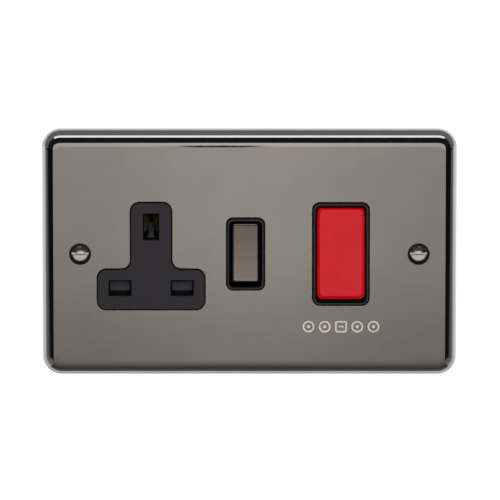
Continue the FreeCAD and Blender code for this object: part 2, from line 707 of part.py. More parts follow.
def rocker(switch, label, poles):
    """A hollow rocker drawn about its pivot, with a sleeve for each plunger."""
    body = new_body(label)
    face = f"-{switch}_face"
    base = f"-{switch}_base"
    edge = f"{switch}_edge"
    loft = body.newObject("PartDesign::AdditiveLoft", "Wedge")
    sections = [(base, f"{switch}_base_width", f"{switch}_base_height"),
                (f"{face} + {edge}", f"{switch}_face_width", f"{switch}_face_height"),
                (face, f"{switch}_face_width - 2 * {edge}_inset", f"{switch}_face_height - 2 * {edge}_inset")]
    outlines = [sketch_on(body, "XZ", level,
                          [centred("0", "0", width, height, f"{switch}_corner_radius")])
                for level, width, height in sections]
    loft.Profile = outlines[0]
    loft.Sections = outlines[1:]
    loft.Ruled = True
    body.Tip = loft
    if switch == "cooker":
        inner = "(cooker_base_width / 2 - cooker_wall * 3 / 2)"
        outer = "(cooker_face_height / 2 - cooker_wall)"
        keel = "(cooker_keel_height / 2)"
        cut(body, "XZ", f"{face} + cooker_wall", f"{base} + overrun",
            block(f"-{inner}", inner, keel, outer, "cooker_hollow_radius"),
            block(f"-{inner}", inner, f"-{outer}", f"-{keel}", "cooker_hollow_radius"))
    add(body, "XZ", base, f"{switch}_keel_depth",
        centred("0", "0", f"{switch}_base_width", f"{switch}_keel_height"))
    shoulder = f"({switch}_bezel_width / 2 - trunnion_end_gap)"
    add(body, "YZ", f"-{shoulder}", shoulder, Ring("0", "0", f"{switch}_trunnion_radius"))
    bore = f"({switch}_plunger_radius + plunger_fit)"
    add(body, "XZ", base, f"{switch}_plunger_tube",
        *[Ring(pole, "0", f"{bore} + plunger_tube_wall") for pole in poles])
    cut(body, "XZ", f"-{switch}_plunger_bore", f"{switch}_plunger_tube + overrun",
        *[Ring(pole, "0", bore) for pole in poles])
    across = "cooker_x" if switch == "cooker" else "socket_switch_x"
    tilt(body, across, f"-{switch}_pivot", f"-{switch}_tilt")
    return body


def switch_cap():
    """The metal face of the socket's rocker."""
    body = new_body("socket_switch_cap")
    front = "-socket_face - cap_thickness"
    add(body, "XZ", front, "-socket_face",
        centred("0", "0", "socket_face_width", "socket_face_height", "socket_corner_radius"))
    soften(body, "Fillet", "cap_edge_radius", edges_at(front))
    tilt(body, "socket_switch_x", "-socket_pivot", "-socket_tilt")
    return body


def plunger(switch, label, pole):
    """The sprung nose that works a moving contact."""
    body = new_body(label)
    radius = f"{switch}_plunger_radius"
    turn(body, "Revolution", pole, "0", [
        ("0", f"{switch}_plunger_back", "0"), (radius, f"{switch}_plunger_back", "0"),
        (radius, f"{switch}_plunger_tip - plunger_nose", "0"),
        (f"{radius} - plunger_nose_inset", f"{switch}_plunger_tip", "0"),
        ("0", f"{switch}_plunger_tip", "0")])
    across = "cooker_x" if switch == "cooker" else "socket_switch_x"
    tilt(body, across, f"-{switch}_pivot", f"-{switch}_tilt")
    return body


def plunger_spring(switch, label, pole):
    """The coil behind a plunger, inside the rocker's sleeve."""
    body = new_body(label)
    start = f"-{switch}_plunger_bore + spring_end_gap"
    length = f"{switch}_plunger_bore + {switch}_plunger_back - 2 * spring_end_gap"
    radius = f"{switch}_plunger_radius - spring_side_gap - spring_wire / 2"
    spring(body, (pole, "0"), start, length, radius, "plunger_spring_turns", upright=False)
    across = "cooker_x" if switch == "cooker" else "socket_switch_x"
    tilt(body, across, f"-{switch}_pivot", f"-{switch}_tilt")
    return body


def moving_contact(switch, label, across):
    """A see-saw drawn about the line on which it rocks, with its contact tip on top."""
    body = new_body(label)
    reach = f"{switch}_rock_reach"
    add(body, "XZ", f"-{switch}_rock_thickness", "0",
        centred("0", "0", f"{switch}_rock_width", f"2 * {reach}"))
    add(body, "XZ", "0", f"{switch}_tip_height", Ring("0", f"{switch}_tip_reach", f"{switch}_tip_radius"))
    tilt(body, across, f"{switch}_rock_line", "rock_angle")
    return body


def strip(body, across, level, low, high):
    """A flat strip of the standard width, lying at one level."""
    add(body, "XZ", level, f"{level} + strip_thickness",
        block(f"{across} - strip_width / 2", f"{across} + strip_width / 2", low, high))


def supply_contact(label, pole):
    """Fixed contact under the moving tip, with a tab on the supply terminal."""
    body = new_body(label)
    low = "cooker_tip_reach - cooker_tip_radius - jaw_foot"
    strip(body, pole, "cooker_strip_front", low, "terminal_start")
    add(body, "XZ", "cooker_strip_front - cooker_fixed_tip_height", "cooker_strip_front",
        Ring(pole, "cooker_tip_reach", "cooker_tip_radius"))
    add(body, "XZ", "strip_tab_front", "cooker_strip_front",
        block(f"{pole} - strip_width / 2", f"{pole} + strip_width / 2",
              "terminal_start - strip_thickness", "terminal_start"))
    return body


def load_contact(label, pole):
    """Fixed strip with the edge that the moving contact rocks on."""
    body = new_body(label)
    strip(body, pole, "cooker_strip_front", "-terminal_start", "strip_thickness")
    add(body, "XZ", "cooker_rock_line + rock_play", "cooker_strip_front",
        block(f"{pole} - strip_width / 2", f"{pole} + strip_width / 2",
              "-strip_thickness / 2", "strip_thickness / 2"))
    soften(body, "Fillet", "strip_thickness / 3",
           lambda edge: edges_at("cooker_rock_line + rock_play")(edge)
           and edge.BoundBox.XLength > value("strip_width") / 2)
    add(body, "XZ", "strip_tab_front", "cooker_strip_front",
        block(f"{pole} - strip_width / 2", f"{pole} + strip_width / 2",
              "-terminal_start", "-terminal_start + strip_thickness"))
    return body


def jaw_leaves(body, across, up, level, width, upright):
    """Two sprung leaves that take a pin, standing forward from a level."""
    inner = "jaw_gap / 2"
    bend = "(jaw_front + jaw_flare_length)"
    for side in (-1, 1):
        centre = across if upright else up

        def place(offset):
            return f"{centre} + {side} * ({offset})"

        corners = [(place(inner), level, "0"), (place(f"{inner} + jaw_leaf"), level, "0"),
                   (place(f"{inner} + jaw_leaf"), bend, "0"),
                   (place(f"{inner} + jaw_leaf + jaw_flare"), "jaw_front", "0"),
                   (place(f"{inner} + jaw_flare"), "jaw_front", "0"), (place(inner), bend, "0")]
        if upright:
            add(body, "XY", f"{up} - ({width}) / 2", f"{up} + ({width}) / 2", Outline(corners))
        else:
            flat = [(depth, sideways, rounding) for sideways, depth, rounding in corners]
            add(body, "YZ", f"{across} - ({width}) / 2", f"{across} + ({width}) / 2", Outline(flat))


def line_jaw():
    """Line jaw, its strip, and the edge that the socket switch rocks on."""
    body = new_body("line_jaw")
    level = "line_jaw_level"
    reach = "(jaw_gap / 2 + jaw_leaf + jaw_foot)"
    add(body, "XZ", level, f"{level} + strip_thickness",
        block(f"{LINE_X} - jaw_width / 2", f"{LINE_X} + jaw_width / 2",
              f"-aperture_line_drop - {reach}", f"-aperture_line_drop + {reach}"))
    jaw_leaves(body, LINE_X, "-aperture_line_drop", level, "jaw_width", upright=False)
    add(body, "XZ", level, f"{level} + strip_thickness",
        Outline([(LINE_X, "-aperture_line_drop - strip_width / 2", "0"),
                 ("socket_switch_x + strip_width / 2", "-aperture_line_drop - strip_width / 2", "0"),
                 ("socket_switch_x + strip_width / 2", "strip_thickness", "0"),
                 ("socket_switch_x - strip_width / 2", "strip_thickness", "0"),
                 ("socket_switch_x - strip_width / 2", "-aperture_line_drop + strip_width / 2", "0"),
                 (LINE_X, "-aperture_line_drop + strip_width / 2", "0")]))
    add(body, "XZ", "socket_rock_line + rock_play", level,
        block("socket_switch_x - strip_width / 2", "socket_switch_x + strip_width / 2",
              "-strip_thickness / 2", "strip_thickness / 2"))
    soften(body, "Fillet", "strip_thickness / 3",
           lambda edge: edges_at("socket_rock_line + rock_play")(edge)
           and edge.BoundBox.XLength > value("strip_width") / 2)
    return body


def neutral_jaw():
    """Neutral jaw and the long link behind everything to the supply terminal."""
    body = new_body("neutral_jaw")
    level = "neutral_jaw_level"
    reach = "(jaw_gap / 2 + jaw_leaf + jaw_foot)"
    tab_end = f"{NEUTRAL_TERMINAL} + supply_width / 2"
    add(body, "XZ", level, f"{level} + strip_thickness",
        block(f"{NEUTRAL_X} - jaw_width / 2", f"{NEUTRAL_X} + jaw_width / 2",
              f"-aperture_line_drop - {reach}", f"-aperture_line_drop + {reach}"))
    jaw_leaves(body, NEUTRAL_X, "-aperture_line_drop", level, "jaw_width", upright=False)
    add(body, "XZ", level, f"{level} + strip_thickness",
        Outline([(f"{NEUTRAL_X} - strip_width / 2", "-aperture_line_drop", "0"),
                 (f"{NEUTRAL_X} + strip_width / 2", "-aperture_line_drop", "0"),
                 (f"{NEUTRAL_X} + strip_width / 2", LINK_LOW, "0"),
                 (tab_end, LINK_LOW, "0"), (tab_end, "terminal_start", "0"),
                 (f"{NEUTRAL_X} - strip_width / 2", "terminal_start", "0")]))
    add(body, "XZ", f"{TERMINAL_BACK} - strip_width", level,
        block(f"{tab_end} - strip_width", tab_end, "terminal_start - strip_thickness", "terminal_start"))
    return body


def earth_jaw():
    """Earth jaw folded out of a window, with a strip to both earth terminals."""
    body = new_body("earth_jaw")
    level = "earth_jaw_level"
    side = "(jaw_gap / 2 + earth_frame_side)"
    low = "(terminal_start - earth_frame_height)"
    add(body, "XZ", level, f"{level} + strip_thickness",
        Outline([(f"socket_x - {side}", low, "0"), (f"socket_x + {side}", low, "0"),
                 (f"socket_x + {side}", LINK_LOW, "0"),
                 ("earth_terminal_x - strip_width / 2", LINK_LOW, "0"),
                 ("earth_terminal_x - strip_width / 2", "-terminal_start", "0"),
                 ("earth_terminal_x + strip_width / 2", "-terminal_start", "0"),
                 ("earth_terminal_x + strip_width / 2", "terminal_start", "0"),
                 (f"socket_x - {side}", "terminal_start", "0")]))
    cut(body, "XZ", f"{level} - overrun", f"{level} + strip_thickness + overrun",
        centred("socket_x", "aperture_earth_rise", "jaw_gap", "aperture_earth_height"))
    jaw_leaves(body, "socket_x", "aperture_earth_rise", level, "earth_jaw_height", upright=True)
    return body


def line_link():
    """Link from the line supply terminal to the socket switch's fixed contact."""
    body = new_body("line_link")
    level = "socket_strip_front"
    start = f"({LINE_TERMINAL} - supply_width / 2)"
    low = "socket_tip_reach - socket_tip_radius - jaw_foot"
    add(body, "XZ", level, f"{level} + strip_thickness",
        Outline([("socket_switch_x - strip_width / 2", low, "0"),
                 ("socket_switch_x + strip_width / 2", low, "0"),
                 ("socket_switch_x + strip_width / 2", LINK_LOW, "0"),
                 (f"{start} + strip_width", LINK_LOW, "0"), (f"{start} + strip_width", "terminal_start", "0"),
                 ("socket_switch_x - strip_width / 2", "terminal_start", "0")]))
    add(body, "XZ", "strip_tab_front", level,
        block(start, f"{start} + strip_width", "terminal_start - strip_thickness", "terminal_start"))
    add(body, "XZ", f"{level} - socket_fixed_tip_height", level,
        Ring("socket_switch_x", "socket_tip_reach", "socket_tip_radius"))
    return body


def earth_strap():
    """Folded strap that bonds the plate to the earth strip."""
    body = new_body("earth_strap")
    rear = "-strap_place - strip_thickness"
    add(body, "YZ", "earth_terminal_x - strap_width / 2", "earth_terminal_x + strap_width / 2",
        Outline([(PLATE_BACK, "-strap_place", "0"), (PLATE_BACK, "-strap_place - strap_foot", "0"),
                 (f"{PLATE_BACK} + strip_thickness", "-strap_place - strap_foot", "0"),
                 (f"{PLATE_BACK} + strip_thickness", rear, "0"), ("earth_jaw_level", rear, "0"),
                 ("earth_jaw_level", "-strap_place", "0")]))
    return body


def terminal(label, across, width, bore, side):
    """A brass block with a blind cable bore from its end and a clamping screw hole."""
    body = new_body(label)
    near = "terminal_start" if side > 0 else f"-{TERMINAL_END}"
    far = TERMINAL_END if side > 0 else "-terminal_start"
    add(body, "XY", near, far, centred(across, TERMINAL_AXIS, width, "terminal_depth"))
    mouth = (f"{TERMINAL_END} - bore_length", f"{TERMINAL_END} + overrun")
    if side < 0:
        mouth = (f"-{TERMINAL_END} - overrun", f"-{TERMINAL_END} + bore_length")
    cut(body, "XY", mouth[0], mouth[1], Ring(across, TERMINAL_AXIS, bore))
    clamp = "supply_clamp_radius" if width == "supply_width" else "earth_clamp_radius"
    cut(body, "XZ", TERMINAL_AXIS, f"{TERMINAL_BACK} + overrun",
        Ring(across, f"{side} * {CLAMP_Z}", f"{clamp} + screw_gap"))
    return body


def screw(body, across, up, tip, seat, top, shank, head):
    """A slotted cheese-head screw along Y, with its head towards the back."""
    turn(body, "Revolution", across, up, [
        ("0", tip, "0"), (shank, tip, "0"), (shank, seat, "0"), (head, seat, "0"),
        (head, top, "0"), ("0", top, "0")])
    cut(body, "XZ", f"({top}) - clamp_slot_depth", f"{top} + overrun",
        centred(across, up, f"2 * {head} + overrun", "clamp_slot_width"))


def clamp_screws(label, places, bore, shank, head):
    """Clamping screws of the terminals at both ends."""
    body = new_body(label)
    tip = f"{TERMINAL_AXIS} + {bore} + screw_gap"
    seat = f"({TERMINAL_BACK} + screw_well_gap)"
    for across in places:
        screw(body, across, CLAMP_Z, tip, seat, f"{seat} + clamp_head_height", shank, head)
    mirror_all(body, "XY")
    return body


def assembly_screws():
    """Four screws that draw the housing up to the moulding."""
    body = new_body("assembly_screws")
    seat = "(assembly_boss_end + pocket_clearance + assembly_floor)"
    tip = f"{seat} - assembly_floor - assembly_grip + screw_gap"
    screw(body, "assembly_spread_x", "assembly_spread_z", tip, seat, f"{seat} + assembly_head_height",
          "assembly_shank_radius", "assembly_head_radius")
    mirror_all(body, "YZ", "XY")
    return body


def fixing_screws():
    """Raised countersunk screws with a neck through the plate."""
    body = new_body("fixing_screws")
    rim = f"({FACE} + fixing_head_sink)"
    neck = f"({rim} + fixing_head_radius - fixing_neck_radius)"
    turn(body, "Revolution", FIXING_X, "0", [
        ("0", f"{rim} - fixing_head_dome", "0"),
        ("fixing_shoulder_radius", f"{rim} - fixing_shoulder_height", "fixing_crown_radius"),
        ("fixing_head_radius", rim, "0"), ("fixing_neck_radius", neck, "0"),
        ("fixing_neck_radius", f"{FACE} + fixing_shank_start - fixing_shank_lead", "0"),
        ("fixing_shank_radius", f"{FACE} + fixing_shank_start", "0"),
        ("fixing_shank_radius", f"{rim} + fixing_length", "0"), ("0", f"{rim} + fixing_length", "0")])
    cut(body, "XZ", f"{rim} - fixing_head_dome - overrun", f"{rim} - fixing_head_dome + fixing_slot_depth",
        centred(FIXING_X, "0", "2 * fixing_head_radius + overrun", "fixing_slot_width"))
    mirror_all(body, "YZ")
    return body


def shutter():
    """Sliding cover of the line and neutral apertures, worked by the earth pin's ramp."""
    body = new_body("shutter")
    front = "-shutter_front"
    add(body, "XZ", front, SHUTTER_BACK,
        block("socket_x - shutter_bar_reach", "socket_x + shutter_bar_reach", BAR_BOTTOM, BAR_TOP,
              "shutter_corner_radius"))
    for pole in (LINE_X, NEUTRAL_X):
        cut(body, "XZ", f"{front} - overrun", f"{front} + shutter_step",
            centred(pole, "-aperture_line_drop - (aperture_line_height - shutter_step_height) / 2",
                    "aperture_line_width + 2 * aperture_lip", "shutter_step_height"))
    add(body, "XZ", front, SHUTTER_BACK,
        block("socket_x - shutter_stem_width / 2", "socket_x + shutter_stem_width / 2",
              BAR_TOP, f"{RAMP_LOW} - shutter_cover_margin / 2"))
    heel = f"{RAMP_LOW} - shutter_heel_drop"
    tip = f"{front} + shutter_ramp_depth"
    add(body, "YZ", "socket_x - shutter_ramp_width / 2", "socket_x + shutter_ramp_width / 2",
        Outline([(front, heel, "0"), (SHUTTER_BACK, heel, "0"),
                 (tip, f"{RAMP_LOW} + shutter_tip_low", "0"),
                 (tip, f"{RAMP_LOW} + shutter_tip_high", "shutter_tip_radius"),
                 (front, RAMP_LOW, "0")]))
    add(body, "XZ", front, f"{front} + shutter_seat_depth",
        block("socket_x - shutter_spring_radius", "socket_x + shutter_spring_radius", BAR_BOTTOM,
              "-aperture_line_drop"))
    return body


def shutter_spring():
    """The coil below the shutter's bar that closes it."""
    body = new_body("shutter_spring")
    spring(body, ("socket_x", "-shutter_front + shutter_seat_depth / 2"),
           f"{BAR_BOTTOM} - shutter_spring_length - spring_end_gap", "shutter_spring_length",
           "shutter_spring_radius - spring_wire / 2", "shutter_spring_turns", upright=True)
    return body


def checked(bodies):
    """Stops the build if any object failed or any pocket cut nothing."""
    doc.recompute()
    for item in doc.Objects:
        if "Invalid" in item.State or "Error" in item.State:
            raise RuntimeError(f"{item.Label} failed: {item.State}")
        if item.TypeId in ("PartDesign::Pocket", "PartDesign::Groove"):
            if item.Shape.Volume > item.BaseFeature.Shape.Volume - TOUCH:
                raise RuntimeError(f"{item.Label} cuts nothing")
    for body in bodies:
        if body.Shape.isNull() or not body.Shape.isValid() or not body.Shape.Solids:
            raise RuntimeError(f"{body.Label} has no valid solid")


def build():
    """Every sub-part of the unit."""
    poles = ("-pole_pitch / 2", "pole_pitch / 2")
    bodies = [front_plate(), front_moulding(), rear_housing()]
    bodies += [rocker("cooker", "cooker_switch_rocker", poles)]
    bodies += [rocker("socket", "socket_switch_rocker", ("0",))]
    bodies += [switch_cap(), shutter(), shutter_spring()]
    bodies += [plunger("cooker", "line_plunger", poles[0])]
    bodies += [plunger("cooker", "neutral_plunger", poles[1])]
    bodies += [plunger("socket", "socket_plunger", "0")]
    bodies += [plunger_spring("cooker", "line_plunger_spring", poles[0])]
    bodies += [plunger_spring("cooker", "neutral_plunger_spring", poles[1])]
    bodies += [plunger_spring("socket", "socket_plunger_spring", "0")]
    bodies += [moving_contact("cooker", "line_moving_contact", LINE_POLE)]
    bodies += [moving_contact("cooker", "neutral_moving_contact", NEUTRAL_POLE)]
    bodies += [moving_contact("socket", "socket_moving_contact", "socket_switch_x")]
    bodies += [supply_contact("line_supply_contact", LINE_POLE)]
    bodies += [supply_contact("neutral_supply_contact", NEUTRAL_POLE)]
    bodies += [load_contact("line_load_contact", LINE_POLE)]
    bodies += [load_contact("neutral_load_contact", NEUTRAL_POLE)]
    bodies += [line_jaw(), neutral_jaw(), earth_jaw(), line_link(), earth_strap()]
    for name, across in (("line", LINE_TERMINAL), ("neutral", NEUTRAL_TERMINAL)):
        bodies += [terminal(f"{name}_supply_terminal", across, "supply_width", "supply_bore_radius", 1)]
        bodies += [terminal(f"{name}_load_terminal", across, "supply_width", "supply_bore_radius", -1)]
    for name, side in (("upper", 1), ("lower", -1)):
        bodies += [terminal(f"{name}_earth_terminal", "earth_terminal_x", "earth_terminal_width",
                            "earth_bore_radius", side)]
    bodies += [clamp_screws("terminal_screws", (LINE_TERMINAL, NEUTRAL_TERMINAL), "supply_bore_radius",
                            "supply_clamp_radius", "supply_clamp_head")]
    bodies += [clamp_screws("earth_screws", ("earth_terminal_x",), "earth_bore_radius",
                            "earth_clamp_radius", "earth_clamp_head")]
    bodies += [assembly_screws(), fixing_screws()]
    return bodies


all_bodies = build()
checked(all_bodies)
os.makedirs("parts", exist_ok=True)
for body in all_bodies:
    body.Shape.exportStep(f"parts/{body.Label}.step")
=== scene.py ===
"""Looks of a cooker control unit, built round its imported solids.

A raised black nickel wall plate holds a dark three-pin socket face, the socket's own
metal-capped rocker and a large red rocker. Lengths inside the classes are millimetres,
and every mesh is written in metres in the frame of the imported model: X to the right,
Y into the wall, Z up.
"""

import json
import logging
import math
from collections.abc import Callable, Iterator
from contextlib import contextmanager
from dataclasses import dataclass, field
from enum import Enum
from functools import cache

import bmesh
import bpy
from mathutils import Matrix, Vector
from mathutils.geometry import intersect_point_line, tessellate_polygon


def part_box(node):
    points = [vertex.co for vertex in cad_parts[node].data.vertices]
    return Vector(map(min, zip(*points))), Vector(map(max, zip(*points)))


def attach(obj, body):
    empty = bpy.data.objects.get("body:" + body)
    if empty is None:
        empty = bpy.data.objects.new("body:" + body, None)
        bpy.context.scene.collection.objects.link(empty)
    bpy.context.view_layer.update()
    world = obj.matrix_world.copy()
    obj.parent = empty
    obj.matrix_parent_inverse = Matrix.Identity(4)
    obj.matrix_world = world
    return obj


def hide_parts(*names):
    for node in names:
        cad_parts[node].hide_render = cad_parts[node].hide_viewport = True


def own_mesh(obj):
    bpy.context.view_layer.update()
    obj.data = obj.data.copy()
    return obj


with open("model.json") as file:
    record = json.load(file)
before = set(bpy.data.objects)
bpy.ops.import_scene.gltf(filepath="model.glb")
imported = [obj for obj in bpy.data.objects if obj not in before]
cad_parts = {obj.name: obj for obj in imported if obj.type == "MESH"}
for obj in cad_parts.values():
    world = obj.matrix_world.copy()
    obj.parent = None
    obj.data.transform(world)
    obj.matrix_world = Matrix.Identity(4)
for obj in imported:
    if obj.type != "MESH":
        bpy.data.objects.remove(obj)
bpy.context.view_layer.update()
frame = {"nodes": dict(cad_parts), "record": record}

LOG = logging.getLogger("cooker_unit")
MM = 0.001
LOCAL_PLACE = "local_place"
WELD_REACH = 1e-7
FLAT_ANGLE = 0.6
SOFT_ANGLE = 35.0
SCREW_CREASE = 32.0
SCREW_STEPS = 40
SLOT_SEED = 7
FLAT = 0.99
HAIR = 0.05
WHITE = (1.0, 1.0, 1.0, 1.0)
SOCKET_X = -35.0
# The place of each rocker's pivot on X and Y, and the rocker's tilt at rest in degrees
RED_PIVOT = (32.6, -1.5, 7.5)
CAP_PIVOT = (-1.35, -2.5, 9.0)
BODY_OF = {node: body for body, nodes in frame["record"]["behaviour"]["bodies"].items() for node in nodes}

Colour = tuple[float, float, float]
Point = tuple[float, float]
Corner = tuple[float, float, float]
Ring = list[bmesh.types.BMVert]
Piece = bpy.types.Object
Node = bpy.types.Node
Socket = bpy.types.NodeSocket


# Outlines and meshes


def rounded(corners: list[Corner], steps: int = 12) -> list[Point]:
    """Rounds every corner of a closed outline.

    Args:
        corners: (x, z, radius) in millimetres, in order round the outline.
        steps: chords in each corner's arc.

    Returns:
        The points of the outline, steps + 1 for each corner.
    """
    points: list[Point] = []
    count = len(corners)
    for index, (x, z, radius) in enumerate(corners):
        here = Vector((x, z))
        before = (Vector(corners[index - 1][:2]) - here).normalized()
        after = (Vector(corners[(index + 1) % count][:2]) - here).normalized()
        half = before.angle(after) / 2
        reach = radius / math.tan(half)
        start = here + before * reach
        centre = here + (before + after).normalized() * (radius / math.sin(half))
        arm = start - centre
        end = here + after * reach - centre
        turn = math.atan2(arm.x * end.y - arm.y * end.x, arm.dot(end))
        for step in range(steps + 1):
            angle = turn * step / steps
            cos, sin = math.cos(angle), math.sin(angle)
            points.append((centre.x + arm.x * cos - arm.y * sin, centre.y + arm.x * sin + arm.y * cos))
    return points


def rectangle(x: float, z: float, width: float, height: float, radius: float) -> list[Corner]:
    """The corners of a rectangle about (x, z), each with the same radius."""
    return [(x + sx * width / 2, z + sz * height / 2, radius) for sx, sz in ((-1, -1), (1, -1), (1, 1), (-1, 1))]


def circle(x: float, z: float, radius: float, steps: int = 64) -> list[Point]:
    """The points of a circle about (x, z)."""
    turns = [2 * math.pi * step / steps for step in range(steps)]
    return [(x + radius * math.cos(turn), z + radius * math.sin(turn)) for turn in turns]


def arc(centre: Point, radius: float, start: float, end: float, steps: int) -> list[Point]:
    """Points on an arc from the angle start to the angle end, both in degrees."""
    spread = [math.radians(start + (end - start) * step / steps) for step in range(steps + 1)]
    return [(centre[0] + radius * math.cos(turn), centre[1] + radius * math.sin(turn)) for turn in spread]


def linked(name: str, data: bpy.types.ID) -> Piece:
    """Adds an object to the scene.

    Args:
        name: its name.
        data: the mesh, lamp or camera that it shows.

    Returns:
        The new object.
    """
    piece = bpy.data.objects.new(name, data)
    bpy.context.scene.collection.objects.link(piece)
    return piece


class Skin:
    """Collects rings of points and joins them into one closed mesh."""

    def __init__(self) -> None:
        """Starts with no points and no faces."""
        self.mesh = bmesh.new()

    def ring(self, outline: list[Point], level: float) -> Ring:
        """Adds an outline of (x, z) points in the plane Y = level, in millimetres."""
        return [self.mesh.verts.new((x * MM, level * MM, z * MM)) for x, z in outline]

    def tube(self, rings: list[Ring]) -> None:
        """Joins each ring to the next with a band of quads.

        Args:
            rings: rings with the same number of points.
        """
        for first, second in zip(rings, rings[1:]):
            for index in range(len(first)):
                after = (index + 1) % len(first)
                self.mesh.faces.new((first[index], first[after], second[after], second[index]))

    def lid(self, *rings: Ring) -> None:
        """Closes the first ring with a flat face that has the others as holes.

        Args:
            rings: the outer ring and its holes.
        """
        verts = [vert for ring in rings for vert in ring]
        outlines = [[Vector((vert.co.x, vert.co.z, 0.0)) for vert in ring] for ring in rings]
        for triple in tessellate_polygon(outlines):
            self.mesh.faces.new([verts[index] for index in triple])

    def spindle(self, rings: list[Ring], start: float, end: float) -> None:
        """Joins rings about the Y axis and closes both ends to points on it.

        Args:
            rings: the rings from one end to the other.
            start: the level of the first point, in millimetres.
            end: the level of the last point.
        """
        self.tube(rings)
        for ring, level in ((rings[0], start), (rings[-1], end)):
            pole = self.mesh.verts.new((0.0, level * MM, 0.0))
            for index, vert in enumerate(ring):
                self.mesh.faces.new((vert, ring[(index + 1) % len(ring)], pole))

    def finish(self, name: str) -> Piece:
        """Turns the faces outwards, shades them smooth and links the object.

        Args:
            name: the piece's name.

        Returns:
            The new object, at the origin.
        """
        bmesh.ops.recalc_face_normals(self.mesh, faces=self.mesh.faces)
        data = bpy.data.meshes.new(name)
        self.mesh.to_mesh(data)
        self.mesh.free()
        data.shade_smooth()
        return linked(name, data)


@contextmanager
def edited(data: bpy.types.Mesh, source: bpy.types.Mesh | None = None) -> Iterator[bmesh.types.BMesh]:
    """Opens a mesh, or another one in its place, for edits that are written to it at the end.

    Args:
        data: the mesh that is written.
        source: the mesh that is read, if it is another.

    Yields:
        The mesh to edit.
    """
    work = bmesh.new()
    work.from_mesh(source or data)
    yield work
    work.to_mesh(data)
    work.free()


def creased(work: bmesh.types.BMesh, angle: float) -> None:
    """Marks the edges between two faces as sharp where they turn by an angle, in degrees, or more."""
    for edge in work.edges:
        edge.smooth = len(edge.link_faces) != 2 or edge.calc_face_angle(0.0) < math.radians(angle)


def settled(piece: Piece) -> Piece:
    """Makes an object's modifiers plain.

    Args:
        piece: the object.

    Returns:
        The same object with the mesh that its modifiers make.
    """
    graph = bpy.context.evaluated_depsgraph_get()
    data = bpy.data.meshes.new_from_object(piece.evaluated_get(graph), preserve_all_data_layers=True, depsgraph=graph)
    piece.modifiers.clear()
    old = piece.data
    piece.data = data
    if not old.users:
        bpy.data.meshes.remove(old)
    return piece


def softened(piece: Piece, width: float, crease: float = 0.0) -> Piece:
    """Breaks the sharp edges of a piece and evens the shading of its flats.

    Args:
        piece: the object, at the origin.
        width: the reach of the broken edge in millimetres, or 0 for shading alone.
        crease: the angle in degrees from which an edge is marked as sharp, or 0 to keep its marks.

    Returns:
        The same object with its modifiers made plain.
    """
    if crease:
        with edited(piece.data) as work:
            creased(work, crease)
    if width:
        bevel = piece.modifiers.new("Broken edges", "BEVEL")
        bevel.width = width * MM
        bevel.segments = 2
        bevel.limit_method = "ANGLE"
        bevel.angle_limit = math.radians(SOFT_ANGLE)
        bevel.use_clamp_overlap = True
        bevel.miter_outer = "MITER_ARC"
    even = piece.modifiers.new("Even shading", "WEIGHTED_NORMAL")
    even.weight = 80
    even.keep_sharp = True
    return settled(piece)


def copied(node: str) -> Piece:
    """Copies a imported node's mesh, with flat areas in as few faces as they need.

    Args:
        node: the node's name.

    Returns:
        The copy, in the node's place at rest.
    """
    name = f"{node}_skin"
    data = bpy.data.meshes.new(name)
    with edited(data, frame["nodes"][node].data) as work:
        bmesh.ops.remove_doubles(work, verts=work.verts, dist=WELD_REACH)
        bmesh.ops.dissolve_limit(work, angle_limit=math.radians(FLAT_ANGLE), verts=work.verts, edges=work.edges)
        for face in work.faces:
            face.smooth = True
        creased(work, SOFT_ANGLE)
    return linked(name, data)


# Node trees


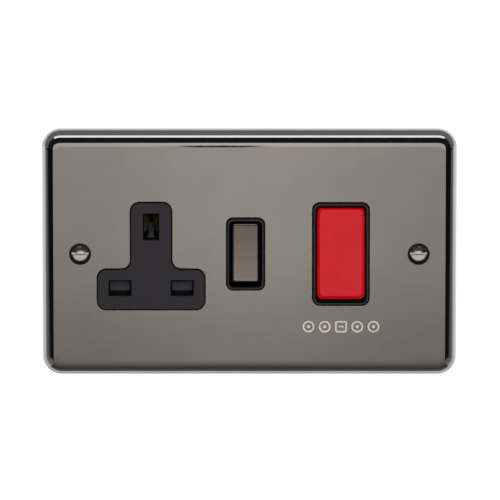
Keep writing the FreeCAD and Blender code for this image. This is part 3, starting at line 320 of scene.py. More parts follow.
class Wiring:
    """Builds a node tree, each node with its settings and its inputs in one call."""

    prefix = "ShaderNode"

    def __init__(self, tree: bpy.types.NodeTree) -> None:
        """Takes over a tree."""
        self.tree = tree
        self.given: Node | None = None

    def ask(self, sockets: dict[str, str], way: str = "INPUT") -> None:
        """Adds named sockets, each of the kind Float, Int, Vector, Geometry or Material, to the tree."""
        for name, kind in sockets.items():
            self.tree.interface.new_socket(name, in_out=way, socket_type=f"NodeSocket{kind}")

    def node(self, kind: str, inputs: dict[str | int, object] | None = None, **settings: object) -> Node:
        """Adds a node.

        Args:
            kind: the node's type, which may leave out the prefix of the tree's own nodes.
            inputs: what its inputs get, as in fill.
            settings: attributes of the node, set before the inputs.

        Returns:
            The new node.
        """
        node = self.tree.nodes.new(kind if "Node" in kind else self.prefix + kind)
        for key, setting in settings.items():
            setattr(node, key, setting)
        self.fill(node, inputs or {})
        return node

    def fill(self, node: Node, inputs: dict[str | int, object]) -> None:
        """Links or sets a node's inputs.

        Args:
            node: the node.
            inputs: by name or index, a value, a socket, a node for its first output, a list of these for
                several links, or the name of an input of the tree after "@".
        """
        for key, wanted in inputs.items():
            for source in wanted if isinstance(wanted, list) else [wanted]:
                if isinstance(source, str) and source.startswith("@"):
                    self.given = self.given or self.tree.nodes.new("NodeGroupInput")
                    source = self.given.outputs[source[1:]]
                elif isinstance(source, Node):
                    source = source.outputs[0]
                if isinstance(source, Socket):
                    self.tree.links.new(source, node.inputs[key])
                else:
                    node.inputs[key].default_value = source

    def maths(self, operation: str, *values: object) -> Node:
        """Adds a Math node over its values."""
        return self.node("ShaderNodeMath", dict(enumerate(values)), operation=operation)

    def place(self, kind: str) -> Node:
        """Adds the X, Y and Z of a kind of texture coordinate."""
        return self.node("SeparateXYZ", {0: self.node("TexCoord").outputs[kind]})

    def step(self, source: object, reach: Point, levels: Point) -> Node:
        """Adds a smooth step of a value from one level to another over a reach."""
        return self.node("MapRange", {"Value": source, "From Min": reach[0], "From Max": reach[1],
                                      "To Min": levels[0], "To Max": levels[1]}, interpolation_type="SMOOTHSTEP")

    def stops(self, source: object, levels: list[Point]) -> Node:
        """Adds a grey ramp of a value.

        Args:
            source: the value.
            levels: (value, level) stops, the levels up to 2.

        Returns:
            A node that puts out the level.
        """
        start, end = levels[0][0], levels[-1][0]
        ramp = self.node("ValToRGB", {"Fac": self.node(
            "MapRange", {"Value": source, "From Min": start, "From Max": end})})
        marks = ramp.color_ramp.elements
        for place, _ in levels[1:-1]:
            marks.new((place - start) / (end - start))
        for mark, (_, level) in zip(marks, levels):
            mark.color = (level / 2, level / 2, level / 2, 1.0)
        return self.maths("MULTIPLY", ramp, 2.0)

    def surface(self, shader: Node) -> None:
        """Makes a shader the surface of a new material, in place of its usual one."""
        self.tree.nodes.remove(self.tree.nodes["Principled BSDF"])
        self.fill(self.tree.nodes["Material Output"], {"Surface": shader})


def painted(name: str) -> tuple[bpy.types.Material, Wiring]:
    """Starts a material.

    Args:
        name: its name.

    Returns:
        The new material and the wiring of its nodes.
    """
    material = bpy.data.materials.new(name)
    material.use_nodes = True
    return material, Wiring(material.node_tree)


# Finishes


class Effect(Enum):
    """The pattern that a finish shows close up."""

    GRAIN = "moulded grain"
    ROLLED = "rolled lines"
    TURNED = "turning rings"


@cache
def pattern_group(effect: Effect) -> bpy.types.NodeTree:
    """Builds the shared node group of an effect, once.

    Args:
        effect: the pattern wanted.

    Returns:
        A group with the inputs Scale and Stretch and the outputs Height and Mottle.
    """
    wiring = Wiring(bpy.data.node_groups.new(effect.value.capitalize(), "ShaderNodeTree"))
    wiring.ask({"Scale": "Float", "Stretch": "Vector"})
    wiring.ask({"Height": "Float", "Mottle": "Float"}, "OUTPUT")
    if effect is Effect.TURNED:
        source = wiring.node("Attribute", attribute_name=LOCAL_PLACE).outputs["Vector"]
    else:
        source = wiring.node("TexCoord").outputs["Object"]
    stretched = wiring.node("VectorMath", {0: source, 1: "@Stretch"}, operation="MULTIPLY")
    fine = wiring.node("TexNoise", {"Detail": 4.0, "Vector": stretched, "Scale": "@Scale"})
    coarse = wiring.node("TexNoise", {"Detail": 3.0, "Vector": stretched,
                                      "Scale": wiring.maths("MULTIPLY", "@Scale", 0.09)})
    height = fine
    if effect is Effect.TURNED:
        rings = wiring.node("TexWave", {"Distortion": 0.4, "Vector": source, "Scale": "@Scale"},
                            wave_type="RINGS", rings_direction="Y")
        height = wiring.maths("MULTIPLY_ADD", fine, 0.4, rings.outputs["Fac"])
    wiring.node("NodeGroupOutput", {"Height": height, "Mottle": coarse})
    return wiring.tree


@dataclass(frozen=True)
class Finish:
    """A material with colour mottling, uneven gloss and a fine relief.

    Attributes:
        name: the material's name.
        slot: the record's slot that the finish belongs to; not used.
        light: the paler colour of the mottling, linear.
        dark: the deeper colour of the mottling, linear.
        gloss: the least and most roughness.
        metal: how metallic the surface is.
        effect: the close-up pattern.
        scale: how fine the pattern is, in repeats a metre.
        stretch: the pattern's scale along each axis.
        relief: the height of the relief in millimetres.
        shine: the specular level.
    """

    name: str
    slot: str
    light: Colour
    dark: Colour
    gloss: Point
    metal: float = 0.0
    effect: Effect = Effect.GRAIN
    scale: float = 4000.0
    stretch: Colour = (1.0, 1.0, 1.0)
    relief: float = 0.004
    shine: float = 0.5

    @cache
    def material(self) -> bpy.types.Material:
        """The finish as a material, built on its first use.

        Returns:
            The material.
        """
        material, wiring = painted(self.name)
        pattern = wiring.node("ShaderNodeGroup", {"Scale": self.scale, "Stretch": self.stretch},
                              node_tree=pattern_group(self.effect))
        height, mottle = pattern.outputs["Height"], pattern.outputs["Mottle"]
        spread = wiring.node("MapRange", {"Value": mottle, "From Min": 0.3, "From Max": 0.7})
        colour = wiring.node("Mix", {"Factor": spread, "A": (*self.dark, 1.0), "B": (*self.light, 1.0)},
                             data_type="RGBA")
        rough = wiring.node("MapRange", {"Value": height, "From Min": 0.25, "From Max": 0.75,
                                         "To Min": self.gloss[0], "To Max": self.gloss[1]})
        bump = wiring.node("Bump", {"Distance": self.relief * MM, "Height": height})
        wiring.fill(wiring.tree.nodes["Principled BSDF"], {
            "Base Color": colour.outputs["Result"], "Metallic": self.metal, "Roughness": rough,
            "Specular IOR Level": self.shine, "Normal": bump})
        return material


BLACK_NICKEL = Finish("Black nickel", "black_nickel", (0.385, 0.345, 0.317), (0.365, 0.328, 0.300), (0.045, 0.07),
                      metal=1.0, scale=900.0, relief=0.0004)
CAP_NICKEL = Finish("Black nickel cap", "black_nickel_cap", (0.300, 0.256, 0.215), (0.272, 0.233, 0.196),
                    (0.16, 0.22), metal=1.0, scale=2500.0, stretch=(0.15, 1.0, 2.0), relief=0.0006)
SCREW_NICKEL = Finish("Black nickel screw", "black_nickel_screw", (0.74, 0.69, 0.64), (0.64, 0.60, 0.55),
                      (0.19, 0.26), metal=1.0, effect=Effect.TURNED, scale=900.0, relief=0.0004)
ETCHED = Finish("Etched symbol", "black_nickel", (0.80, 0.715, 0.64), (0.72, 0.64, 0.57), (0.5, 0.62),
                metal=0.0, scale=9000.0, relief=0.002)
DARK_FACE = Finish("Dark socket face", "dark_moulding", (0.0070, 0.0032, 0.0076), (0.0054, 0.0024, 0.0058),
                   (0.38, 0.46), scale=3500.0, relief=0.0012, shine=0.85)
# Painted shade: a darker, duller copy of the socket face for the walls of its apertures and a narrow border round its
# outline.
SOCKET_EDGE_SHADE = Finish("Socket edge painted shade", "dark_moulding", (0.0014, 0.0014, 0.0017), (0.0010, 0.0010, 0.0012),
                   (0.5, 0.6), scale=3500.0, relief=0.0012, shine=0.12)
# Painted highlight: a pale, barely metallic copy of the plate for the rounded lips of its openings.
PLATE_LIP_HIGHLIGHT = Finish("Plate lip painted highlight", "black_nickel", (0.40, 0.36, 0.33), (0.37, 0.335, 0.305), (0.35, 0.45),
                   metal=0.1, scale=900.0, relief=0.0004)
# Painted shade: a near-black copy of the plate for the dimple walls, standing in for their dark reflection.
DIMPLE_SHADE = Finish("Dimple wall painted shade", "black_nickel", (0.022, 0.019, 0.016), (0.016, 0.014, 0.012),
                     (0.28, 0.38), metal=0.8, scale=900.0, relief=0.0004)
HOUSING = Finish("Housing thermoset", "housing", (0.023, 0.023, 0.025), (0.015, 0.015, 0.017), (0.46, 0.62),
                 scale=2600.0, relief=0.005)
RED = Finish("Red rocker", "red_rocker", (0.625, 0.0095, 0.0170), (0.590, 0.0080, 0.0145), (0.34, 0.42),
             scale=3000.0, relief=0.0012, shine=0.3)
# Painted light: a brighter, more saturated red with little sheen for the rocker's sloping sides and ends, standing in
# for light in the plastic.
RED_EDGE_LIGHT = Finish("Red rocker edge painted light", "red_rocker", (0.70, 0.0012, 0.0095), (0.66, 0.0010, 0.0080), (0.45, 0.55),
                  scale=3000.0, relief=0.0012, shine=0.06)
BLACK = Finish("Black rocker", "black_rocker", (0.010, 0.010, 0.011), (0.007, 0.007, 0.008), (0.30, 0.40),
               scale=3000.0, relief=0.0012)
GREY_SHUTTER = Finish("Shutter plastic", "shutter", (0.035, 0.035, 0.043), (0.029, 0.029, 0.035), (0.42, 0.55),
                      scale=3200.0, relief=0.003)
# Painted shade: a near-black copy of the shutter plastic for its sunk parts.
SHUTTER_RECESS_SHADE = Finish("Shutter recess painted shade", "shutter", (0.0045, 0.0045, 0.0050), (0.0030, 0.0030, 0.0035),
                        (0.6, 0.75), scale=3200.0, relief=0.003, shine=0.2)
NYLON = Finish("Natural nylon", "plunger", (0.74, 0.72, 0.64), (0.66, 0.63, 0.54), (0.32, 0.45),
               scale=5000.0, relief=0.002)
STRIP_BRASS = Finish("Rolled brass strip", "contact_brass", (0.62, 0.42, 0.17), (0.47, 0.30, 0.11), (0.18, 0.36),
                     metal=1.0, effect=Effect.ROLLED, scale=2600.0, stretch=(0.12, 1.0, 1.0), relief=0.002)
DULL_BRASS = Finish("Dull brass lip", "contact_brass", (0.30, 0.186, 0.111), (0.21, 0.13, 0.08), (0.32, 0.46),
                    metal=0.55, scale=2600.0, relief=0.002)
BLOCK_BRASS = Finish("Machined brass", "terminal_brass", (0.68, 0.48, 0.21), (0.55, 0.37, 0.15), (0.20, 0.34),
                     metal=1.0, effect=Effect.ROLLED, scale=3000.0, stretch=(1.0, 1.0, 0.08), relief=0.0025)
SPRING_STEEL = Finish("Spring steel", "spring_steel", (0.48, 0.48, 0.50), (0.34, 0.34, 0.36), (0.20, 0.34),
                      metal=1.0, scale=6000.0, relief=0.002)
ZINC_STEEL = Finish("Zinc plated steel", "steel_screw", (0.62, 0.62, 0.60), (0.46, 0.47, 0.47), (0.22, 0.40),
                    metal=1.0, effect=Effect.TURNED, scale=900.0, relief=0.0025)


def place_on(piece: Piece, finish: Finish, node: str | None = None) -> None:
    """Gives a piece its finish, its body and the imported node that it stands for.

    Args:
        piece: the finished object, in its place at rest.
        finish: its finish.
        node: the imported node, or none for a piece of the fixed body that stands for none.
    """
    body = BODY_OF[node] if node else "unit"
    piece.data.materials.clear()
    piece.data.materials.append(finish.material())
    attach(piece, body)
    if node:
        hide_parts(node)
    LOG.info("%s rides on %s in %s", piece.name, body, finish.name)


def repainted(piece: Piece, finish: Finish, chosen: Callable[[bpy.types.MeshPolygon], bool]) -> None:
    """Gives some faces of a placed piece a further finish of the same slot.

    Args:
        piece: the placed object.
        finish: the further finish.
        chosen: whether a face takes it.
    """
    piece.data.materials.append(finish.material())
    index = len(piece.data.materials) - 1
    for face in piece.data.polygons:
        if chosen(face):
            face.material_index = index


# Repeated pieces


class RuleTree(Wiring):
    """A Geometry Nodes tree with named inputs for its sizes."""

    prefix = "GeometryNode"

    def __init__(self, name: str, sizes: dict[str, str]) -> None:
        """Starts a tree.

        Args:
            name: the tree's name.
            sizes: the kind of each named input.
        """
        super().__init__(bpy.data.node_groups.new(name, "GeometryNodeTree"))
        self.ask({"Geometry": "Geometry"}, "OUTPUT")
        self.ask({"Geometry": "Geometry", **sizes, "Material": "Material"})

    def vector(self, **parts: object) -> Node:
        """Adds a vector of its X, Y and Z."""
        return self.node("ShaderNodeCombineXYZ", parts)

    def line(self, count: object, step: Node) -> Node:
        """Adds a row of points, a step apart and centred on the origin."""
        first = self.node("ShaderNodeVectorMath", {0: step, "Scale": self.maths(
            "MULTIPLY", self.maths("SUBTRACT", count, 1.0), -0.5)}, operation="SCALE")
        return self.node("MeshLine", {"Count": count, "Start Location": first, "Offset": step})

    def end(self, geometry: Node) -> None:
        """Realizes the instances, sets the material and links the tree's output."""
        plain = self.node("RealizeInstances", {"Geometry": geometry})
        self.node("NodeGroupOutput", {0: self.node("SetMaterial", {"Geometry": plain, "Material": "@Material"})})

    def grow(self, name: str, finish: Finish, sizes: dict[str, object], base: bpy.types.Mesh | None = None) -> Piece:
        """Runs the tree with its sizes.

        Args:
            name: the piece's name.
            finish: the finish of its material.
            sizes: a value for each named input.
            base: the mesh that the tree repeats, if it repeats one.

        Returns:
            The plain mesh that the tree makes, as a new object at the origin.
        """
        piece = linked(name, base or bpy.data.meshes.new(name))
        modifier = piece.modifiers.new(self.tree.name, "NODES")
        modifier.node_group = self.tree
        given = {**sizes, "Material": finish.material()}
        for socket in self.tree.interface.items_tree:
            if socket.in_out == "INPUT" and socket.name in given:
                modifier[socket.identifier] = given[socket.name]
        return settled(piece)


class ScrewPattern(RuleTree):
    """Repeats one screw over columns and rows in the plane of the plate."""

    def __init__(self) -> None:
        """Builds the tree."""
        super().__init__("Screw pattern", {
            "Columns": "Int", "Rows": "Int", "Column pitch": "Float", "Row pitch": "Float", "Centre": "Vector",
            "Slot spread": "Float"})
        keep = self.node("StoreNamedAttribute", {"Geometry": "@Geometry", "Name": LOCAL_PLACE,
                                                 "Value": self.node("InputPosition")},
                         data_type="FLOAT_VECTOR", domain="POINT")
        grid = self.node("InstanceOnPoints", {"Points": self.line("@Rows", self.vector(Z="@Row pitch")),
                                              "Instance": self.line("@Columns", self.vector(X="@Column pitch"))})
        spots = self.node("Transform", {"Geometry": self.node("RealizeInstances", {"Geometry": grid}),
                                        "Translation": "@Centre"})
        spin = self.node("FunctionNodeRandomValue", {
            "Min": (0.0, 0.0, 0.0), "Max": self.vector(Y="@Slot spread"), "Seed": SLOT_SEED},
            data_type="FLOAT_VECTOR")
        self.end(self.node("InstanceOnPoints", {"Points": spots, "Instance": keep, "Rotation": spin}))

    def set_out(self, name: str, blank: Piece, width: float, finish: Finish, node: str, columns: int, rows: int,
                pitch: Point, x: float = 0.0, spread: float = 0.0) -> None:
        """Breaks the edges of one screw, repeats it and puts the set in place.

        Args:
            name: the name of the set.
            blank: the screw about the Y axis, which is used up.
            width: the reach of its broken edges.
            finish: its finish.
            node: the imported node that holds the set.
            columns: how many stand side by side.
            rows: how many stand above each other.
            pitch: their spacing across and up.
            x: the middle of the columns.
            spread: the most that a slot is turned by, in radians.
        """
        softened(blank, width, SCREW_CREASE)
        screws = self.grow(name, finish, {
            "Columns": columns, "Rows": rows, "Column pitch": pitch[0] * MM, "Row pitch": pitch[1] * MM,
            "Centre": (x * MM, 0.0, 0.0), "Slot spread": spread}, blank.data)
        bpy.data.objects.remove(blank)
        place_on(screws, finish, node)


class CoilSpring(RuleTree):
    """A round-wire coil about Z, from the origin upwards."""

    def __init__(self) -> None:
        """Builds the tree."""
        super().__init__("Coil spring", {
            "Coil radius": "Float", "Wire radius": "Float", "Length": "Float", "Turns": "Float"})
        path = self.node("CurveSpiral", {
            "Resolution": 28, "Rotations": "@Turns", "Start Radius": "@Coil radius", "End Radius": "@Coil radius",
            "Height": "@Length"})
        wire = self.node("CurvePrimitiveCircle", {"Resolution": 12, "Radius": "@Wire radius"})
        self.end(self.node("CurveToMesh", {"Curve": path, "Profile Curve": wire, "Fill Caps": True}))


class SymbolRow(RuleTree):
    """A row of etched hob rings with an oven mark in the middle."""

    marks = 5
    flatness = 0.06

    def __init__(self) -> None:
        """Builds the tree."""
        super().__init__("Symbol row", {
            "Pitch": "Float", "Ring radius": "Float", "Line": "Float", "Dot": "Float", "Place": "Vector"})
        row = self.line(self.marks, self.vector(X="@Pitch"))
        ring = self.node("CurvePrimitiveCircle", {"Resolution": 72, "Radius": "@Ring radius"})
        dot = self.node("MeshUVSphere", {"Segments": 24, "Rings": 12, "Radius": "@Dot"})
        side = self.maths("MULTIPLY", "@Ring radius", 2.0)
        square = self.node("FilletCurve", {
            "Curve": self.node("CurvePrimitiveQuadrilateral", {"Width": side, "Height": side}),
            "Radius": self.maths("MULTIPLY", "@Ring radius", 0.3), "Count": 8}, mode="POLY")
        window = self.node("MeshCube", {"Size": self.vector(X="@Ring radius", Y="@Line", Z="@Line")})
        middle = self.node("FunctionNodeCompare", {"A": self.node("InputIndex"), "B": self.marks // 2},
                           data_type="INT", operation="EQUAL")
        others = self.node("FunctionNodeBooleanMath", {0: middle}, operation="NOT")
        signs = [self.node("InstanceOnPoints", {
            "Points": row, "Selection": chosen,
            "Instance": self.node("JoinGeometry", {0: [self.drawn(path), mark]})})
            for path, mark, chosen in ((ring, dot, others), (square, window, middle))]
        flat = self.node("Transform", {"Geometry": self.node("JoinGeometry", {0: signs}),
                                       "Scale": (1.0, 1.0, self.flatness)})
        self.end(self.node("Transform", {"Geometry": flat, "Rotation": (math.pi / 2, 0.0, 0.0),
                                         "Translation": "@Place"}))

    def drawn(self, path: Node) -> Node:
        """Gives a path the width of the etched line."""
        nib = self.node("CurvePrimitiveCircle", {"Resolution": 8, "Radius": self.maths("MULTIPLY", "@Line", 0.5)})
        return self.node("CurveToMesh", {"Curve": path, "Profile Curve": nib})


# Front of the unit


@dataclass
class FrontPlate:
    """The raised plate: rolled edge, formed screw dimples and three openings."""

    width: float = 148.0
    height: float = 89.0
    depth: float = 6.2
    wall: float = 1.0
    corner: float = 7.0
    edge: float = 4.9
    blend: float = 1.3
    blend_tilt: float = 4.0
    lip: float = 0.14
    opening_gap: float = 0.15
    fixing_x: float = 60.3
    dimple: float = 3.8
    dimple_floor: float = 3.3
    dimple_sink: float = 0.95
    dimple_taper: float = 1.6
    bore: float = 1.7
    boss: float = 2.7
    boss_depth: float = 3.2
    red_opening: Corner = (20.35, 37.4, 2.85)
    cap_opening: Corner = (13.7, 26.3, 2.55)
    openings_reach: Point = (56.0, 30.0)
    symbols: Corner = (32.7, -6.2, -26.4)

    def openings(self) -> list[list[Corner]]:
        """Draws the openings.

        Returns:
            The outlines of the socket's, the cooker switch's and the socket switch's.
        """
        more = 2 * self.opening_gap
        switches = ((RED_PIVOT, self.red_opening), (CAP_PIVOT, self.cap_opening))
        return [socket_outline(self.opening_gap)] + [
            rectangle(x, 0.0, width + more, height + more, radius) for (x, *_), (width, height, radius) in switches]

    def outline(self, inset: float) -> list[Point]:
        """The plate's outline, drawn in by an inset."""
        return rounded(rectangle(0.0, 0.0, self.width - 2 * inset, self.height - 2 * inset,
                                 self.corner - inset), steps=24)

    def rolled(self) -> list[Point]:
        """Draws the section of the rim and of the rolled edge, easing on to the flat.

        Returns:
            (inset, level) points from the wall to the face.
        """
        slope = math.radians(self.blend_tilt)
        drop = self.blend * math.tan(slope) / 2
        centre = (self.edge, -self.depth + drop + self.edge * math.cos(slope))
        points = arc(centre, self.edge, 180.0, 270.0 - self.blend_tilt, 22)
        start = points[-1][0]
        eased = [(start + self.blend * part, -self.depth + drop * (1.0 - part) ** 2)
                 for part in (0.2, 0.4, 0.6, 0.8, 1.0)]
        return [(0.0, 0.0)] + points + eased

    def lipped(self) -> list[Point]:
        """(spread, level) points of the rounded lip of an opening, from the face inwards."""
        return [(self.lip - x, self.lip - self.depth + y) for x, y in arc((0.0, 0.0), self.lip, -90.0, 0.0, 5)]

    def dimpled(self) -> list[Point]:
        """Draws the section of a dimple, its bore and the boss behind it.

        Returns:
            (radius, level) points from the face to the back.
        """
        floor, tip = self.dimple_sink - self.depth, self.boss_depth - self.depth
        return [(self.dimple + spread, level) for spread, level in self.lipped()] + [
            (self.dimple_floor, floor), (self.bore, floor + self.dimple_taper), (self.bore, tip), (self.boss, tip),
            (self.boss + self.boss_depth - self.wall, self.wall - self.depth)]

    def build(self) -> Piece:
        """Builds the plate as one closed mesh.

        Returns:
            The plate, at the origin.
        """
        skin = Skin()
        back = self.wall - self.depth
        inner = self.edge - self.wall
        front = [skin.ring(self.outline(inset), level) for inset, level in self.rolled()]
        inside = [(self.wall, 0.0)] + arc((self.edge, back + inner), inner, 180.0, 270.0, 10)
        rear = [skin.ring(self.outline(inset), level) for inset, level in inside]
        holes = [[skin.ring(grown(corners, spread), level) for spread, level in [*self.lipped(), (0.0, back)]]
                 for corners in self.openings()]
        holes += [[skin.ring(circle(side * self.fixing_x, 0.0, radius), level) for radius, level in self.dimpled()]
                  for side in (-1, 1)]
        for rings in (front, rear, [front[0], rear[0]], *holes):
            skin.tube(rings)
        skin.lid(front[-1], *[rings[0] for rings in holes])
        skin.lid(rear[-1], *[rings[-1] for rings in holes])
        return softened(skin.finish("front_plate_skin"), 0.0, 30.0)

    def on_lip(self, face: bpy.types.MeshPolygon) -> bool:
        """Tells the rounded lips of the openings, which take a painted highlight, from the rest.

        Args:
            face: a face of the plate.

        Returns:
            Whether it is on one of them.
        """
        place = face.center / MM
        return (face.normal.y > -FLAT and abs(place.x) < self.openings_reach[0]
                and abs(place.z) < self.openings_reach[1] and place.y < self.lip - self.depth)

    def in_dimple(self, face: bpy.types.MeshPolygon) -> bool:
        """Tells the walls of the two dimples, which take painted shade, from the rest.

        Args:
            face: a face of the plate.

        Returns:
            Whether it is on one of them.
        """
        place = face.center / MM
        return (place.y < self.boss_depth - self.depth + HAIR and face.normal.y > -FLAT
                and math.hypot(abs(place.x) - self.fixing_x, place.z) < self.dimple + self.lip)

    def dress(self) -> None:
        """Builds the plate and the etched row below the red rocker, and puts both in place."""
        plate = self.build()
        place_on(plate, BLACK_NICKEL, "front_plate")
        # Painted highlight on the lips of the openings.
        repainted(plate, PLATE_LIP_HIGHLIGHT, self.on_lip)
        # Painted shade on the dimple walls, standing in for their dark reflection.
        repainted(plate, DIMPLE_SHADE, self.in_dimple)
        row = SymbolRow().grow("hob_symbols", ETCHED, {
            "Pitch": 5.8 * MM, "Ring radius": 1.82 * MM, "Line": 0.58 * MM, "Dot": 0.55 * MM,
            "Place": tuple(part * MM for part in self.symbols)})
        row.data.shade_smooth()
        place_on(row, ETCHED)


def socket_outline(grow: float) -> list[Corner]:
    """Draws the upside-down T of the socket face.

    Args:
        grow: how far it is grown all round, in millimetres.

    Returns:
        Its corners.
    """
    x, wide, narrow = SOCKET_X, 19.3 + grow, 7.45 + grow
    low, shoulder, top = -20.3 - grow, -5.4 + grow, 18.8 + grow
    outer, inner = 3.3 + grow, 3.3 - grow
    return [(x - wide, low, outer), (x + wide, low, outer), (x + wide, shoulder, outer),
            (x + narrow, shoulder, inner), (x + narrow, top, outer), (x - narrow, top, outer),
            (x - narrow, shoulder, inner), (x - wide, shoulder, outer)]


def grown(corners: list[Corner], spread: float) -> list[Point]:
    """Rounds an outline and moves it outwards.

    Args:
        corners: its corners.
        spread: how far it moves, in millimetres.

    Returns:
        The points of the outline.
    """
    points = rounded(corners)
    moved: list[Point] = []
    for (x, z), (ax, az), (bx, bz) in zip(points, points[1:] + points[:1], points[-1:] + points[:-1]):
        along = Vector((ax - bx, az - bz)).normalized()
        moved.append((x + along.y * spread, z - along.x * spread))
    return moved


@dataclass
class FixingScrews:
    """Two raised countersunk screws with threads, one each side of the plate."""

    pitch: float = 120.6
    rim: float = -5.12
    head: float = 3.05
    dome: float = 0.85
    neck: float = 1.45
    shank: float = 1.75
    shank_start: float = -2.2
    tip: float = 19.88
    thread_pitch: float = 0.8
    thread_depth: float = 0.28
    thread_rows: int = 5
    fade_in: float = 4.0
    fade_out: float = 6.0
    tip_depth: float = 0.15
    rim_height: float = 0.12
    edge: float = 0.06
    slot: float = 0.8
    slot_floor: float = -5.07

    def headed(self) -> list[Point]:
        """Draws the section of the raised countersunk head.

        Returns:
            (radius, level) points from beside the crown to the neck.
        """
        radius = (self.head ** 2 + self.dome ** 2) / (2 * self.dome)
        spread = [self.head * step / 12 for step in range(1, 13)]
        return [(reach, self.rim - self.dome + radius - math.sqrt(radius ** 2 - reach ** 2)) for reach in spread] + [
            (self.head, self.rim + self.rim_height), (self.neck, self.rim + self.head - self.neck)]

    def threaded(self, part: float, fade: float) -> tuple[list[Point], float]:
        """Draws the thread across the shank at one level.

        Args:
            part: how far along the shank the level is, from 0 to 1.
            fade: how deep the thread is there, from 0 to 1.

        Returns:
            Its outline and its level.
        """
        level = self.shank_start + (self.tip - self.shank_start) * part
        points = []
        for step in range(SCREW_STEPS):
            turn = step / SCREW_STEPS
            wave = abs(((level / self.thread_pitch - turn) % 1.0) * 2 - 1)
            radius = self.shank - self.thread_depth * (1 - wave * fade)
            points.append((radius * math.cos(2 * math.pi * turn), radius * math.sin(2 * math.pi * turn)))
        return points, level

    def dress(self, pattern: ScrewPattern) -> None:
        """Builds the screw, repeats it at both fixings and puts the pair in place.

        Args:
            pattern: the tree that repeats it.
        """
        skin = Skin()
        rings = [skin.ring(circle(0.0, 0.0, radius, SCREW_STEPS), level) for radius, level in self.headed()]
        rows = int((self.tip - self.shank_start) / self.thread_pitch * self.thread_rows)
        for row in range(rows + 1):
            fade = min(1.0, row / self.fade_in, (rows - row) / self.fade_out + self.tip_depth)
            rings.append(skin.ring(*self.threaded(row / rows, fade)))
        crown = self.rim - self.dome
        skin.spindle(rings, crown, self.tip)
        blank = slotted(skin.finish("fixing_screw_blank"), self.slot, crown - 1.0, self.slot_floor, self.head)
        pattern.set_out("fixing_screw_pair", blank, self.edge, SCREW_NICKEL, "fixing_screws", 2, 1,
                        (self.pitch, 0.0))


def slotted(blank: Piece, width: float, low: float, high: float, reach: float) -> Piece:
    """Cuts a driver slot across X into a turned blank.

    Args:
        blank: the turned piece about the Y axis.
        width: the slot's width in millimetres.
        low: the level on Y where the cut starts.
        high: the level on Y where the cut ends.
        reach: the radius of the head.

    Returns:
        The blank with its slot, as a plain mesh.
    """
    skin = Skin()
    outline = [(x, z) for x, z, _ in rectangle(0.0, 0.0, 2 * (reach + 1), width, 0.0)]
    rings = [skin.ring(outline, low), skin.ring(outline, high)]
    skin.tube(rings)
    for ring in rings:
        skin.lid(ring)
    cutter = skin.finish("slot_cutter")
    cut = blank.modifiers.new("Slot", "BOOLEAN")
    cut.object = cutter
    cut.solver = "EXACT"
    settled(blank)
    bpy.data.objects.remove(cutter)
    return blank


@dataclass
class SocketCap:
    """The polished metal face of the socket's rocker, tilted with it."""

    width: float = 9.05
    height: float = 20.6
    corner: float = 0.9
    low: float = 5.0
    high: float = 5.9
    edge: float = 0.45

    def dress(self) -> None:
        """Builds the cap with its rounded edge, about the rocker's pivot, and puts it in place."""
        skin = Skin()
        insets = [(0.0, -self.low)] + arc((self.edge, self.edge - self.high), self.edge, 180.0, 270.0, 8)
        rings = [skin.ring(rounded(rectangle(0.0, 0.0, self.width - 2 * inset, self.height - 2 * inset,
                                             self.corner - inset), steps=8), level) for inset, level in insets]
        skin.tube(rings)
        skin.lid(rings[0])
        skin.lid(rings[-1])
        cap = softened(skin.finish("socket_cap_skin"), 0.0, 40.0)
        cap.data.transform(pivoted(*CAP_PIVOT))
        place_on(cap, CAP_NICKEL, "socket_switch_cap")


def pivoted(x: float, pivot: float, tilt: float) -> Matrix:
    """The turn and move of a piece drawn about a rocker's pivot, at rest."""
    return Matrix.Translation((x * MM, pivot * MM, 0.0)) @ Matrix.Rotation(-math.radians(tilt), 4, "X")


# Springs, rear screws and the rest


@dataclass
class Springs:
    """The round-wire springs of the three plungers and the shutter."""

    coil: CoilSpring = field(default_factory=CoilSpring)
    wire: float = 0.16
    turns: float = 6.5
    shutter_turns: float = 11.0
    shutter_radius: float = 1.2
    end_gap: float = 0.1

    def dress(self) -> None:
        """Winds the springs of the plungers in their rockers, and the one that closes the shutter."""
        for node, pivot, pole, bore, back, radius in (
                ("line_plunger_spring", RED_PIVOT, -5.0, 3.6, 1.0, 1.105),
                ("neutral_plunger_spring", RED_PIVOT, 5.0, 3.6, 1.0, 1.105),
                ("socket_plunger_spring", CAP_PIVOT, 0.0, 3.4, 0.7, 1.055)):
            foot = Matrix.Translation((pole * MM, (self.end_gap - bore) * MM, 0.0))
            self.wind(node, radius, bore + back - 2 * self.end_gap, self.turns,
                      pivoted(*pivot) @ foot @ Matrix.Rotation(-math.pi / 2, 4, "X"))
        low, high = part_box("shutter_spring")
        self.wind("shutter_spring", self.shutter_radius, (high[2] - low[2]) / MM, self.shutter_turns,
                  Matrix.Translation(((low[0] + high[0]) / 2, (low[1] + high[1]) / 2, low[2])))

    def wind(self, node: str, radius: float, length: float, turns: float, seat: Matrix) -> None:
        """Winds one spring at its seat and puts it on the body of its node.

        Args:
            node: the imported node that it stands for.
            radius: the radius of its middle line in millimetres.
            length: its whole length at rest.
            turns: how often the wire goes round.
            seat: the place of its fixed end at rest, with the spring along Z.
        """
        spring = self.coil.grow(f"{node}_coil", SPRING_STEEL, {
            "Coil radius": radius * MM, "Wire radius": self.wire * MM, "Length": (length - 2 * self.wire) * MM,
            "Turns": turns})
        spring.data.transform(seat @ Matrix.Translation((0.0, 0.0, self.wire * MM)))
        spring.data.shade_smooth()
        place_on(spring, SPRING_STEEL, node)
        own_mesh(spring)


